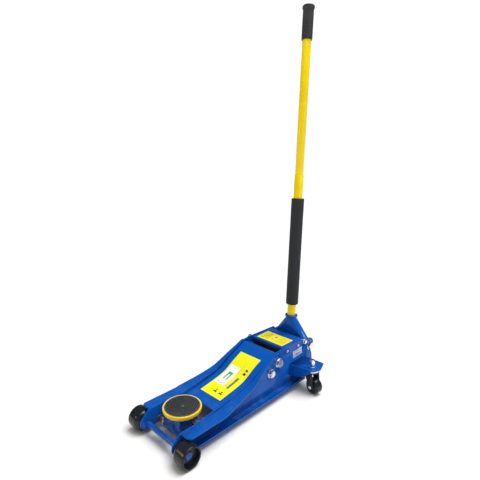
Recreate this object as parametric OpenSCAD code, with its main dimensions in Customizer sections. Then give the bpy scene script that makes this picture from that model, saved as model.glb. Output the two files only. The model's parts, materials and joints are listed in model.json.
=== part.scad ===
// Low trolley jack: a chassis of two pressed side plates carrying a hydraulic lift arm with a
// levelling saddle, on two front rollers and two rear swivel casters, pumped and released by a long
// upright handle. Millimetres, +Z up, the saddle end towards -Y, the floor at Z = 0.
// Stations along the jack are written as [y, z] from the front axle's line.

/* [Chassis] */
// Clear width between the two side plates
chassis_gap = 168; // [168:1:169]
// Thickness of the pressed side plates
plate_t = 4; // [3.8:0.1:4]
// Height of the side plates' top edge at the saddle end
rail_low_z = 84; // [84:0.5:86]
// Height of the side plates' top edge at the pump end
rail_high_z = 183; // [182:0.5:185]
// Half width of the chassis over the lower flanges
foot_half_w = 118; // [112:1:118]
// Half width of the chassis over the top flanges at the saddle end
shoulder_half_w = 130; // [124:1:132]

/* [Front wheels] */
// Radius of the front rollers
wheel_r = 37; // [36:0.5:40]
// Radius of the front axle bar
axle_r = 9; // [9:0.5:10]
// Distance from the centre line to each roller's inner face
wheel_in_x = 96; // [94:1:98]
// Tread width of each roller
wheel_w = 54; // [52:1:58]

/* [Lifting gear] */
// Thickness of the lift arm's cheeks
cheek_t = 6; // [5:0.5:6]
// Crank length from the arm's pivot to the ram roller
crank_len = 70; // [70:0.5:71]
// Angle that the arm swings through, lowered to raised, in degrees
arm_swing = 68; // [60:1:68]
// Radius of the hydraulic ram
ram_r = 17.95; // [16:0.05:17.95]
// Outer radius of the oil reservoir
tank_r = 40; // [38:0.5:40]

/* [Saddle] */
// Outer radius of the saddle cup
saddle_r = 65; // [60:0.5:66]
// Height of the saddle pad's top above the floor, lowered
saddle_z = 104; // [103.5:0.5:106]

/* [Casters] */
// Radius of the caster wheels
caster_r = 31; // [29:0.5:31]
// Width of the caster wheels
caster_w = 34; // [30:1:34]
// Trail of the caster wheels behind their swivel
caster_trail = 13; // [12:0.5:13]

/* [Handle] */
// Lean of the handle behind the vertical, in degrees
handle_lean = 2.9; // [2:0.1:4]
// Outer radius of the lower handle tube
tube_r = 18; // [16:0.5:18]
// Length of the handle beyond the socket's collar
handle_len = 1241; // [1100:1:1300]

/* [Hidden] */

$fn = 96;
run_gap = 0.06;      // radial clearance of a running fit
seat_gap = 0.05;     // radial clearance of a fixed fit
label_t = 0.5;
steps = 24;          // straight pieces in each curved edge

blue = [0.03, 0.22, 0.62];
gold = [0.95, 0.72, 0.05];
zinc = [0.72, 0.74, 0.78];
steel = [0.45, 0.46, 0.48];
black = [0.05, 0.05, 0.06];
yellow_paint = [0.97, 0.85, 0.02];

// Chassis stations
plate_in = chassis_gap / 2;
plate_out = plate_in + plate_t;
axle_at = [0, wheel_r];
nose_at = [0, 43];
nose_r = 27.5;
cap_r = 12.5;
cap_t = 4;
hub_r = 24;
wheel_out_x = wheel_in_x + wheel_w;
recess_floor_x = wheel_out_x - 18.4;
recess_r = wheel_r - 7;
inner_round = 20;
inner_run = 17;
outer_round = 5;
rail_flat_y = 150;
rail_top_y = 468;
rail_curve = [[rail_flat_y, rail_low_z], [411, 121.5], [265, 105.7], [rail_top_y, rail_high_z]];
foot_z = 22;
foot_from_y = 46;
foot_to_y = 620;
lip_h = 10;

// Lifting gear stations
arm_pivot = [480, 136];
link_pivot = [432, 111];
arm_tip = [92, 62];
link_tip = arm_tip + link_pivot - arm_pivot;
arm_drop = 5;
arm_front_y = 157.5;
cheek_out = 75;
cheek_in = cheek_out - cheek_t;
shaft_r = 15;
bush_r = 20;
torque_r = 32;
torque_wall = 4;
arm_boss_r = 36;
crank_at = arm_pivot + crank_len * [sin(arm_swing / 2), -cos(arm_swing / 2)];
crank_boss_r = 14;
crank_pin_r = 8;
ram_roller_r = 12;
roller_half_w = 22;
yoke_half_w = 42;
yoke_wall = 8;
yoke_pin_r = 8;
link_pin_r = 7;
link_bolt_r = 8;
link_in = 77;
link_out = 82;
link_eye_r = 13;
link_half_h = 9;
open_pivot_gap = 0.5;

// Hydraulic unit stations
ram_z = arm_pivot[1] - crank_len * (1 + cos(arm_swing / 2)) / 2;
ram_play = 1.3;
head_front_y = crank_at[0] + ram_roller_r + ram_play;
head_t = 8;
head_half_w = 25;
gland_y = head_front_y + head_t + 3;
gland_t = 10;
block_y = 640;
block_back_y = 716;
block_z = 34;
block_top_z = 92;
block_half_w = 52;
block_bolt_z = 55;
block_bolts = [658, 684];
cylinder_r = 26;
bore_r = ram_r + seat_gap;
ram_back_y = 671;
bore_back_y = 690;
plunger_x = 24;
plunger_y = 702;
plunger_r = 6;
plunger_head_r = 9;
plunger_top_z = 134.6;
plunger_head_t = 4;
plunger_foot_z = 66;
plunger_well_z = 37;

// Saddle stations
saddle_y = 80.5;
yoke_top_z = 88;
cup_z = yoke_top_z + 0.4;
cup_top_z = saddle_z - 1.2;
cup_floor_t = 4.6;
pad_r = saddle_r - 6;
stem_r = 12;
stem_z = 72;
pad_screw_r = 3;

// Handle stations, written in the socket's own leaning axes from its pivot
handle_pivot = [687, 140];
ear_r = 31;
socket_axis = -18;
socket_top = 116;
fork_out = plate_in - 3;
fork_t = 7;
fork_front = -30;
hood_back = 6;
fork_r = 28;
hood_z = 12;
hood_wall = 5;
neck_r = 24;
neck_z = 96;
collar_r = 27;
pivot_bolt_r = 10;
roller_arm = 22;
roller_angle = 10 + handle_lean;
roller_at = roller_arm * [cos(roller_angle), sin(roller_angle)];
pump_roller_r = 8;
roller_pin_r = 5;
tube_foot = 60;
tube_wall = 2.5;
tube_seam = 711;
upper_r = 17;
spigot_len = 50;
sleeve_from = 163;
sleeve_to = 615;
sleeve_r = 26.5;
grip_r = 21.5;
grip_end_r = 24;
grip_len = 126;
grip_edge_r = 4;
handle_top = socket_top + handle_len;
cover_from_y = 515;
cover_to_y = 643;
cover_half_w = 81.3;
cover_z = rail_high_z - 1.6;
cover_t = 3;
cover_screw_r = 2.5;
spreader_at = [535, 163];
spreader_r = 12;
side_screw_at = [606, 164];
stop_at = [650, 168];
stop_r = 6;

// Caster stations
caster_pin = [167, 594];
caster_turn = -8;
deck_z = 100;
deck_t = 5;
bracket_y = 551;
bracket_back_y = 650;
apron_t = 5;
bracket_tip = [184, 561];
bearing_r = 28;
bearing_h = 9;
crown_t = 5;
crown_r = 26;
crown_z = deck_z - bearing_h - crown_t;
kingpin_r = 8;
kingpin_top_z = 136;
nut_from_z = 108;
nut_to_z = 130;
leg_in = caster_w / 2 + 1.5;
leg_t = 3.5;
leg_half_w = 19;
tread_round = 8;
caster_axle_r = 6;

// The part's origin is the middle of its footprint, so the stations are shifted back by half the
// length from the rollers' front to the leaning grip's back edge
grip_corner = handle_top - grip_edge_r;
grip_back_y = handle_pivot[0] + grip_corner * sin(handle_lean)
    + (socket_axis + grip_end_r - grip_edge_r) * cos(handle_lean) + grip_edge_r;
mid_y = (grip_back_y - wheel_r) / 2;

function bezier(p, t) = pow(1 - t, 3) * p[0] + 3 * pow(1 - t, 2) * t * p[1]
    + 3 * (1 - t) * t * t * p[2] + pow(t, 3) * p[3];
function lowered(line, drop) = [for (p = line) [p[0], p[1] - drop]];
function reversed(line) = [for (i = [len(line) - 1:-1:0]) line[i]];
function arc(centre, r, from, to, n = 8) =
    [for (i = [0:n]) centre + r * [cos(from + (to - from) * i / n), sin(from + (to - from) * i / n)]];
function ring(centre, along, up, r, sides) =
    [for (i = [0:sides - 1]) centre + r * (cos(360 * i / sides) * along + sin(360 * i / sides) * up)];

rail_line = [for (i = [0:steps]) bezier(rail_curve, i / steps)];

// Moves stations measured from the front axle to the part's own origin
module placed() {
    translate([0, -mid_y, 0])
        children();
}

module both_sides() {
    children();
    mirror([1, 0, 0])
        children();
}

// Extrudes a [y, z] outline along X
module across(from_x, to_x) {
    translate([from_x, 0, 0])
        rotate([90, 0, 90])
            linear_extrude(to_x - from_x)
                children();
}

module cross_rod(at, r, from_x, to_x) {
    translate([from_x, at[0], at[1]])
        rotate([0, 90, 0])
            cylinder(r = r, h = to_x - from_x);
}

module spot(at, r) {
    translate(at)
        circle(r = r);
}

// A washer and a hexagon head standing outwards from x
module hex_head(at, x, washer_r, washer_t, hex_r, hex_h) {
    cross_rod(at, washer_r, x, x + washer_t);
    translate([x + washer_t, at[0], at[1]])
        rotate([0, 90, 0])
            cylinder(r = hex_r, h = hex_h, $fn = 6);
}

// The socket's leaning axes, from the handle's pivot
module leaning() {
    translate([0, handle_pivot[0], handle_pivot[1]])
        rotate([-handle_lean, 0, 0])
            children();
}

module on_handle_axis() {
    leaning()
        translate([0, socket_axis, 0])
            children();
}

// One caster's own axes: X along its trail, Y along its axle, from its swivel at the floor
module at_caster() {
    translate([caster_pin[0], caster_pin[1], 0])
        rotate([0, 0, caster_turn])
            children();
}

// A coil of round wire about Z, rising from z = 0
module coil(mean_r, wire_r, pitch, turns, sides = 6, per_turn = 14) {
    last = turns * per_turn;
    rings = [for (i = [0:last])
        let (a = 360 * i / per_turn)
            ring([mean_r * cos(a), mean_r * sin(a), pitch * i / per_turn],
                [cos(a), sin(a), 0], [0, 0, 1], wire_r, sides)];
    points = [for (r = rings) for (p = r) p];
    walls = [for (i = [0:last - 1]) for (k = [0:sides - 1])
        let (a = i * sides + k, b = i * sides + (k + 1) % sides)
            [a, a + sides, b + sides, b]];
    ends = [[for (k = [0:sides - 1]) k], [for (k = [sides - 1:-1:0]) last * sides + k]];
    polyhedron(points, concat(walls, ends), convexity = 10);
}

// ---- Chassis ----

module side_outline() {
    polygon(concat(
        [[-20, 61], [4, rail_low_z]],
        rail_line,
        [[500, rail_high_z + 2], [660, rail_high_z - 2], [668, rail_high_z - 7], [706, 99], [711, 69]],
        arc([692, 40], 18, 0, -90),
        [[foot_from_y, foot_z], [4, 16]]));
    spot(nose_at, nose_r);
    spot(handle_pivot, ear_r);
}

module flange_plan() {
    polygon(concat(
        [[plate_in, rail_top_y], [plate_in, 8]],
        arc([shoulder_half_w - 12, 20], 12, -90, 0),
        [[shoulder_half_w, 165], [foot_half_w + 1, 250], [112, 318], [103, 365], [96, 428]],
        arc([plate_out, 460], 8, 0, 90)));
}

module side_plate() {
    difference() {
        union() {
            across(plate_in, plate_out)
                side_outline();
            intersection() {
                across(plate_in, shoulder_half_w)
                    polygon(concat([[4, rail_low_z]], rail_line,
                        reversed(lowered(rail_line, plate_t)), [[4, rail_low_z - plate_t]]));
                linear_extrude(rail_high_z + 10)
                    flange_plan();
            }
            translate([plate_out - 1, foot_from_y, foot_z])
                cube([foot_half_w - plate_out + 1, foot_to_y - foot_from_y, plate_t]);
            translate([foot_half_w - plate_t, foot_from_y, foot_z])
                cube([plate_t, foot_to_y - foot_from_y, lip_h]);
        }
        cross_rod(axle_at, axle_r + seat_gap, 0, wheel_in_x);
        cross_rod(link_pivot, link_bolt_r + seat_gap, 0, wheel_in_x);
        cross_rod(arm_pivot, shaft_r + seat_gap, 0, wheel_in_x);
        cross_rod(handle_pivot, pivot_bolt_r + seat_gap, 0, wheel_in_x);
        cross_rod(stop_at, stop_r + seat_gap, 0, wheel_in_x);
        cross_rod(spreader_at, cover_screw_r + seat_gap, 0, wheel_in_x);
        cross_rod(side_screw_at, cover_screw_r + seat_gap, 0, wheel_in_x);
        for (y = block_bolts)
            cross_rod([y, block_bolt_z], 5 + seat_gap, 0, wheel_in_x);
    }
}

module side_plate_right() {
    color(blue) placed() side_plate();
}

module side_plate_left() {
    color(blue) placed() mirror([1, 0, 0]) side_plate();
}

module front_axle() {
    color(blue) placed()
        cross_rod(axle_at, axle_r, -recess_floor_x - 0.4, recess_floor_x + 0.4);
}

module axle_caps() {
    color(blue) placed() both_sides()
        cross_rod(axle_at, cap_r, recess_floor_x + 0.4, recess_floor_x + 0.4 + cap_t);
}

module roller_wheel() {
    translate([0, axle_at[0], axle_at[1]])
        rotate([0, 90, 0])
            rotate_extrude()
                polygon(concat(
                    [[axle_r + run_gap, plate_out + 0.4], [hub_r, plate_out + 0.4],
                        [hub_r, wheel_in_x]],
                    arc([wheel_r - inner_round, wheel_in_x + inner_run], inner_round,
                        -asin(inner_run / inner_round), 0, 10),
                    arc([wheel_r - outer_round, wheel_out_x - outer_round], outer_round, 0, 90),
                    [[recess_r + 1.5, wheel_out_x], [recess_r, wheel_out_x - 1.5],
                        [recess_r, recess_floor_x], [axle_r + run_gap, recess_floor_x]]));
}

module front_wheel_right() {
    color(black) placed() roller_wheel();
}

module front_wheel_left() {
    color(black) placed() mirror([1, 0, 0]) roller_wheel();
}

module rear_cover() {
    color(blue) placed() difference() {
        union() {
            translate([-cover_half_w, cover_from_y, cover_z - cover_t])
                cube([2 * cover_half_w, cover_to_y - cover_from_y, cover_t]);
            translate([-cover_half_w, cover_from_y, cover_z - 12])
                cube([2 * cover_half_w, cover_t, 12]);
            both_sides() translate([cover_half_w - cover_t, side_screw_at[0] - 14, 152])
                cube([cover_t, 28, cover_z - 152]);
        }
        cross_rod(side_screw_at, cover_screw_r + seat_gap, -plate_in, plate_in);
    }
}

module cover_screws() {
    color(zinc) placed() both_sides() for (at = [spreader_at, side_screw_at]) {
        cross_rod(at, 6, plate_out, plate_out + 3.5);
        cross_rod(at, cover_screw_r, 72, plate_out);
    }
}

module spreader_tube() {
    color(steel) placed() difference() {
        cross_rod(spreader_at, spreader_r, -plate_in, plate_in);
        both_sides() cross_rod(spreader_at, cover_screw_r + seat_gap, 60, plate_in + 1);
    }
}

module stop_rod() {
    color(zinc) placed() {
        cross_rod(stop_at, stop_r, -plate_out, plate_out);
        both_sides() hex_head(stop_at, plate_out, 10, 2, 9, 7);
    }
}

module handle_pivot_bolts() {
    color(zinc) placed() both_sides() {
        cross_rod(handle_pivot, pivot_bolt_r, fork_out - fork_t - 2, plate_out);
        hex_head(handle_pivot, plate_out, 19, 3, 17, 11);
    }
}

module arm_pivot_shaft() {
    color(steel) placed() cross_rod(arm_pivot, shaft_r, -plate_out, plate_out);
}

module arm_pivot_bolts() {
    color(zinc) placed() both_sides() hex_head(arm_pivot, plate_out, 19, 2.5, 16, 10);
}

module link_pivot_bolts() {
    color(zinc) placed() both_sides() {
        cross_rod(link_pivot, link_bolt_r, link_in - 0.5, plate_out);
        hex_head(link_pivot, plate_out, 18, 2.5, 15.5, 10);
    }
}

module return_springs() {
    color(steel) placed() both_sides() translate([16, arm_pivot[0], arm_pivot[1]])
        rotate([0, 90, 0])
            coil((bush_r + torque_r - torque_wall) / 2, 2.5, 5.6, 5);
}

// ---- Hydraulic unit ----

// Extrudes a round section along Y about the ram's axis
module along_ram(r, from_y, to_y, z = ram_z) {
    translate([0, to_y, z])
        rotate([90, 0, 0])
            cylinder(r = r, h = to_y - from_y);
}

module pump_block() {
    color(steel) placed() difference() {
        union() {
            translate([-block_half_w, block_y, block_z])
                cube([2 * block_half_w, block_back_y - block_y, block_top_z - block_z]);
            translate([-plate_in, block_bolts[0] - 12, block_bolt_z - 14])
                cube([chassis_gap, block_bolts[1] - block_bolts[0] + 24, 28]);
            translate([0, block_y + 30, block_top_z])
                cylinder(r = 14, h = 8);
        }
        along_ram(bore_r, block_y - 1, bore_back_y);
        for (x = [-plunger_x, plunger_x])
            translate([x, plunger_y, plunger_well_z])
                cylinder(r = plunger_r + run_gap, h = block_top_z);
        both_sides() for (y = block_bolts)
            cross_rod([y, block_bolt_z], 5 + seat_gap, plate_in - 20, plate_in + 1);
        translate([0, block_y + 30, bore_r + ram_z + 3])
            cylinder(r = 5 + run_gap, h = block_top_z);
    }
}

module pump_block_bolts() {
    color(zinc) placed() both_sides() for (y = block_bolts) {
        cross_rod([y, block_bolt_z], 5, plate_in - 18, plate_out);
        hex_head([y, block_bolt_z], plate_out, 9.5, 1.5, 8.5, 6);
    }
}

module power_cylinder() {
    color(steel) placed() difference() {
        along_ram(cylinder_r, gland_y + gland_t, block_y);
        along_ram(bore_r, gland_y, block_y + 1);
    }
}

module reservoir_shell() {
    color(steel) placed() difference() {
        along_ram(tank_r, gland_y + gland_t, block_y);
        along_ram(tank_r - 2.5, gland_y, block_y + 1);
        translate([0, 600, ram_z + cylinder_r])
            cylinder(r = 6 + seat_gap, h = tank_r);
    }
}

module gland_cap() {
    color(steel) placed() difference() {
        along_ram(tank_r, gland_y, gland_y + gland_t);
        along_ram(bore_r, gland_y - 1, gland_y + gland_t + 1);
    }
}

module filler_plug() {
    color(black) placed() translate([0, 600, ram_z + tank_r - 4]) {
        cylinder(r = 6, h = 5);
        translate([0, 0, 5])
            cylinder(r = 8.5, h = 5);
    }
}

module ram() {
    color(zinc) placed() along_ram(ram_r, head_front_y + head_t, ram_back_y);
}

module ram_head() {
    color(steel) placed() translate([-head_half_w, head_front_y, ram_z - 17])
        cube([2 * head_half_w, head_t, 34]);
}

module pump_plungers() {
    color(zinc) placed() for (x = [-plunger_x, plunger_x]) translate([x, plunger_y, 0]) {
        translate([0, 0, plunger_foot_z])
            cylinder(r = plunger_r, h = plunger_top_z - plunger_foot_z);
        translate([0, 0, plunger_top_z - plunger_head_t])
            cylinder(r = plunger_head_r, h = plunger_head_t);
    }
}

module pump_springs() {
    spring_h = plunger_top_z - plunger_head_t - block_top_z;
    color(zinc) placed() for (x = [-plunger_x, plunger_x])
        translate([x, plunger_y, block_top_z + 1])
            coil(7.8, 0.9, (spring_h - 2) / 6, 6);
}

module release_valve() {
    color(zinc) placed() translate([0, block_y + 30, 0]) {
        translate([0, 0, bore_r + ram_z + 4])
            cylinder(r = 5, h = 105 - bore_r - ram_z - 4);
        translate([0, 0, 100.4])
            cylinder(r = 11, h = 10, $fn = 6);
        both_sides() translate([6, -4, 110])
            cube([3, 8, 9]);
    }
}

// ---- Lift arm and levelling links ----

module arm_outline() {
    polygon(concat([[arm_tip[0] + 4, arm_tip[1] + 13]], lowered(rail_line, arm_drop),
        [[arm_pivot[0] + 16, arm_pivot[1] + 30], [arm_pivot[0] + 20, arm_pivot[1] - 26], [440, 98],
            [330, 72], [200, 52], [arm_tip[0] + 4, arm_tip[1] - 13.5]]));
    polygon([arm_pivot + [-16, -20], arm_pivot + [32, -12], crank_at + [13, 3], crank_at + [-12, -7]]);
    spot(arm_tip, 14);
    spot(arm_pivot, arm_boss_r);
    spot(crank_at, crank_boss_r);
}

module lift_arm() {
    color(blue) placed() difference() {
        union() {
            both_sides() across(cheek_in, cheek_out)
                arm_outline();
            intersection() {
                across(-plate_in, plate_in)
                    polygon(concat(lowered(rail_line, arm_drop),
                        reversed(lowered(rail_line, arm_drop + 4.5))));
                linear_extrude(rail_high_z)
                    polygon([[-cheek_out, arm_front_y], [cheek_out, arm_front_y],
                        [81, rail_top_y], [-81, rail_top_y]]);
            }
        }
        cross_rod(arm_tip, yoke_pin_r + seat_gap, -plate_in, plate_in);
        cross_rod(arm_pivot, bush_r + seat_gap, -plate_in, plate_in);
        cross_rod(crank_at, crank_pin_r + seat_gap, -plate_in, plate_in);
    }
}

module arm_pivot_tube() {
    color(steel) placed() difference() {
        cross_rod(arm_pivot, torque_r, -cheek_in, cheek_in);
        cross_rod(arm_pivot, torque_r - torque_wall, -plate_in, plate_in);
    }
}

module arm_bushes() {
    color(gold) placed() both_sides() difference() {
        cross_rod(arm_pivot, bush_r, cheek_in - 14, cheek_out);
        cross_rod(arm_pivot, shaft_r + run_gap, 0, plate_in);
    }
}

module crank_pin() {
    color(zinc) placed() cross_rod(crank_at, crank_pin_r, -cheek_out, cheek_out);
}

module crank_roller() {
    color(steel) placed() difference() {
        cross_rod(crank_at, ram_roller_r, -roller_half_w, roller_half_w);
        cross_rod(crank_at, crank_pin_r + seat_gap, -plate_in, plate_in);
    }
}

module yoke_pin() {
    color(zinc) placed() cross_rod(arm_tip, yoke_pin_r, -cheek_out, cheek_out);
}

module saddle_yoke() {
    foot = [29, 34];
    brow = [40, yoke_top_z];
    color(blue) placed() difference() {
        union() {
            both_sides() across(yoke_half_w - yoke_wall, yoke_half_w) {
                polygon([foot, brow, [112, yoke_top_z], [108, 56], [96, 46], [52, 23], [36, 23]]);
                spot(arm_tip, 16);
                spot(link_tip, 15);
            }
            across(-yoke_half_w, yoke_half_w) {
                polygon([foot, brow, brow + [5, 0], foot + [5, 0]]);
                polygon([brow + [-1, -6], brow, [112, yoke_top_z], [111, yoke_top_z - 6]]);
            }
            translate([0, saddle_y, stem_z])
                cylinder(r = 20, h = yoke_top_z - stem_z);
        }
        translate([0, saddle_y, stem_z - 1])
            cylinder(r = stem_r + run_gap, h = yoke_top_z);
        cross_rod(arm_tip, yoke_pin_r + run_gap, -plate_in, plate_in);
        cross_rod(link_tip, link_pin_r + seat_gap, -plate_in, plate_in);
    }
}

module link_pin() {
    color(zinc) placed() cross_rod(link_tip, link_pin_r, -plate_in + 0.8, plate_in - 0.8);
}

module link_spacers() {
    color(gold) placed() both_sides() difference() {
        cross_rod(link_tip, 11, yoke_half_w + 0.2, link_in - 0.4);
        cross_rod(link_tip, link_pin_r + seat_gap, 0, plate_in);
    }
}

module link_rod() {
    run = link_pivot - link_tip;
    difference() {
        across(link_in, link_out) {
            translate(link_tip)
                rotate(atan2(run[1], run[0]))
                    translate([0, -link_half_h])
                        square([norm(run), 2 * link_half_h]);
            spot(link_tip, link_eye_r);
            spot(link_pivot, link_eye_r);
        }
        cross_rod(link_pivot, link_bolt_r + run_gap, 0, plate_in);
        cross_rod(link_tip, link_pin_r + open_pivot_gap, 0, plate_in);
    }
}

module link_rod_right() {
    color(blue) placed() link_rod();
}

module link_rod_left() {
    color(blue) placed() mirror([1, 0, 0]) link_rod();
}

// ---- Saddle ----

module saddle_cup() {
    color(yellow_paint) placed() translate([0, saddle_y, 0]) rotate_extrude()
        polygon([[pad_screw_r + seat_gap, stem_z], [stem_r, stem_z], [stem_r, cup_z],
            [saddle_r - 3, cup_z], [saddle_r, cup_z + 4], [saddle_r, cup_top_z - 1.5],
            [saddle_r - 1.5, cup_top_z], [pad_r + 0.6, cup_top_z], [pad_r + 0.2, cup_top_z - 1],
            [pad_r + 0.2, cup_z + cup_floor_t], [pad_screw_r + seat_gap, cup_z + cup_floor_t]]);
}

module saddle_pad() {
    color(black) placed() translate([0, saddle_y, 0]) rotate_extrude()
        polygon([[pad_screw_r + seat_gap, cup_z + cup_floor_t], [pad_r, cup_z + cup_floor_t],
            [pad_r, saddle_z - 1], [pad_r - 1, saddle_z], [8, saddle_z],
            [7, saddle_z - 3], [pad_screw_r + seat_gap, saddle_z - 3]]);
}

module pad_screw() {
    color(zinc) placed() translate([0, saddle_y, 0]) {
        translate([0, 0, stem_z + 2])
            cylinder(r = pad_screw_r, h = saddle_z - 3 - stem_z - 2);
        translate([0, 0, saddle_z - 3])
            cylinder(r = 6.5, h = 2.6);
    }
}

// ---- Handle ----

module socket_hood(inset) {
    half = fork_out - inset;
    hull() {
        translate([-half, fork_front + inset, hood_z])
            cube([2 * half, hood_back - fork_front - 2 * inset, 8]);
        translate([0, socket_axis, neck_z])
            cylinder(r = neck_r + 1 - inset / 2, h = 4, $fn = 32);
    }
}

module handle_socket() {
    color(blue) placed() leaning() difference() {
        union() {
            both_sides() across(fork_out - fork_t, fork_out) {
                spot([0, 0], fork_r);
                polygon([[fork_front, -10], [fork_front, hood_z + 6], [hood_back, hood_z + 6],
                    [hood_back, -10]]);
            }
            translate([-fork_out, fork_front, -10])
                cube([2 * fork_out, hood_wall, hood_z + 12]);
            difference() {
                socket_hood(0);
                socket_hood(hood_wall);
                translate([-fork_out + fork_t, fork_front + hood_wall, 0])
                    cube([2 * (fork_out - fork_t), hood_back - fork_front - 2 * hood_wall, hood_z + 6]);
            }
            translate([0, socket_axis, tube_foot])
                cylinder(r1 = tube_r + 1, r2 = neck_r - 2, h = 14);
            translate([0, socket_axis, tube_foot + 14])
                cylinder(r = neck_r - 2, h = socket_top - tube_foot - 14);
            translate([0, socket_axis, 0]) rotate_extrude()
                polygon(concat([[tube_r, neck_z - 4], [neck_r + 1, neck_z - 4], [neck_r, 106],
                    [collar_r, 109]], arc([collar_r - 2, socket_top - 2], 2, 0, 90, 4),
                    [[tube_r, socket_top]]));
        }
        cross_rod([0, 0], pivot_bolt_r + run_gap, -plate_in, plate_in);
        cross_rod(roller_at, roller_pin_r + seat_gap, -fork_out + fork_t / 2, fork_out - fork_t / 2);
        translate([0, socket_axis, tube_foot - 1])
            cylinder(r = tube_r + run_gap, h = socket_top - tube_foot + 2);
    }
}

module roller_pin() {
    color(zinc) placed() leaning()
        cross_rod(roller_at, roller_pin_r, -fork_out + fork_t / 2 + 0.1, fork_out - fork_t / 2 - 0.1);
}

module pump_rollers() {
    color(steel) placed() leaning() both_sides() difference() {
        cross_rod(roller_at, pump_roller_r, plunger_x - 8, plunger_x + 8);
        cross_rod(roller_at, roller_pin_r + seat_gap, 0, plate_in);
    }
}

module handle_lower_tube() {
    color(yellow_paint) placed() on_handle_axis() difference() {
        translate([0, 0, tube_foot])
            cylinder(r = tube_r, h = tube_seam - tube_foot);
        translate([0, 0, tube_foot - 1])
            cylinder(r = tube_r - tube_wall, h = tube_seam);
    }
}

module handle_upper_tube() {
    spigot_r = tube_r - tube_wall - seat_gap;
    color(yellow_paint) placed() on_handle_axis() rotate_extrude()
        polygon([[spigot_r - 2, tube_seam - spigot_len], [spigot_r, tube_seam - spigot_len],
            [spigot_r, tube_seam], [upper_r, tube_seam], [upper_r, handle_top - 14],
            [spigot_r - 2, handle_top - 14]]);
}

module release_coupling() {
    color(steel) placed() on_handle_axis() {
        translate([0, 0, tube_foot + 2])
            cylinder(r = tube_r - tube_wall - seat_gap, h = 18);
        translate([0, 0, -4])
            cylinder(r = 5.5, h = tube_foot + 6);
        translate([0, 0, -4])
            cylinder(r = 6.4, h = 12, $fn = 6);
    }
}

module foam_sleeve() {
    color(black) placed() on_handle_axis() rotate_extrude()
        polygon(concat([[tube_r + seat_gap, sleeve_from]],
            arc([sleeve_r - 3, sleeve_from + 3], 3, -90, 0, 4),
            arc([sleeve_r - 3, sleeve_to - 3], 3, 0, 90, 4),
            [[tube_r + seat_gap, sleeve_to]]));
}

module handle_grip() {
    from = handle_top - grip_len;
    color(black) placed() on_handle_axis() rotate_extrude()
        polygon(concat([[upper_r + seat_gap, from], [grip_r - 1, from], [grip_r, from + 1],
            [grip_r, handle_top - 14], [grip_end_r, handle_top - 10]],
            arc([grip_end_r - grip_edge_r, handle_top - grip_edge_r], grip_edge_r, 0, 90),
            [[0, handle_top], [0, handle_top - 13.9], [upper_r + seat_gap, handle_top - 13.9]]));
}

// ---- Casters ----

module caster_bracket() {
    run = bracket_tip - [plate_out, bracket_y];
    reach = norm(run);
    deck_top = deck_z + deck_t;
    difference() {
        union() {
            translate([0, 0, deck_z]) linear_extrude(deck_t)
                polygon(concat([[plate_out, bracket_back_y], [plate_out, bracket_y + apron_t / 2]],
                    arc([182, 575], 11, -80, -20), arc([194, 600], 8, -15, 10),
                    arc([179, 642], 8, 30, 90, 4)));
            translate([plate_out, bracket_y, 0]) rotate([0, 0, atan2(run[1], run[0])])
                translate([0, apron_t, 0]) rotate([90, 0, 0]) linear_extrude(apron_t)
                    polygon([[2, 56], [33, 61], [70, 72], [81, 84], [94, 96], [reach, deck_z],
                        [reach, deck_top], [2, deck_top]]);
            translate([plate_out, bracket_back_y, 0]) rotate([90, 0, 0]) linear_extrude(apron_t)
                polygon([[0, 60], [40, 70], [88, deck_z - 6], [88, deck_top], [0, deck_top]]);
        }
        translate([caster_pin[0], caster_pin[1], 0])
            cylinder(r = kingpin_r + seat_gap, h = rail_high_z);
    }
}

module caster_bracket_right() {
    color(blue) placed() caster_bracket();
}

module caster_bracket_left() {
    color(blue) placed() mirror([1, 0, 0]) caster_bracket();
}

module caster_bolts() {
    color(zinc) placed() both_sides() translate([caster_pin[0], caster_pin[1], 0]) {
        translate([0, 0, crown_z - 8])
            cylinder(r = 13, h = 7.6);
        translate([0, 0, crown_z - 2])
            cylinder(r = kingpin_r, h = kingpin_top_z - crown_z + 2);
        translate([0, 0, deck_z + deck_t])
            cylinder(r = 13.5, h = nut_from_z - deck_z - deck_t);
        translate([0, 0, nut_from_z])
            cylinder(r = 12.6, h = nut_to_z - nut_from_z, $fn = 6);
    }
}

module caster_bearings() {
    color(zinc) placed() both_sides() translate([caster_pin[0], caster_pin[1], 0])
        difference() {
            translate([0, 0, crown_z + crown_t + 0.4])
                cylinder(r = bearing_r, h = bearing_h - 0.4);
            cylinder(r = kingpin_r + seat_gap, h = rail_high_z);
        }
}

module caster_fork() {
    difference() {
        union() {
            translate([0, 0, crown_z])
                cylinder(r = crown_r, h = crown_t);
            for (y = [-leg_in - leg_t, leg_in])
                translate([0, y + leg_t, 0]) rotate([90, 0, 0]) linear_extrude(leg_t) {
                    polygon([[-leg_half_w, crown_z + crown_t], [-leg_half_w, crown_z - 12],
                        [caster_trail - 10, caster_r], [caster_trail + 10, caster_r],
                        [leg_half_w, crown_z - 12], [leg_half_w, crown_z + crown_t]]);
                    spot([caster_trail, caster_r], 10);
                }
            translate([-leg_half_w, -leg_in - leg_t, crown_z])
                cube([2 * leg_half_w, 2 * (leg_in + leg_t), crown_t]);
        }
        translate([0, 0, crown_z - 1])
            cylinder(r = kingpin_r + run_gap, h = crown_t + 2);
        translate([caster_trail, 0, caster_r]) rotate([90, 0, 0])
            cylinder(r = caster_axle_r + seat_gap, h = 80, center = true);
    }
}

module caster_axle() {
    end = leg_in + leg_t;
    translate([caster_trail, 0, caster_r]) rotate([90, 0, 0]) {
        cylinder(r = caster_axle_r, h = 2 * end, center = true);
        for (s = [-1, 1])
            translate([0, 0, s * (end + 2.5)])
                cylinder(r = 7, h = 5, center = true);
    }
}

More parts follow.
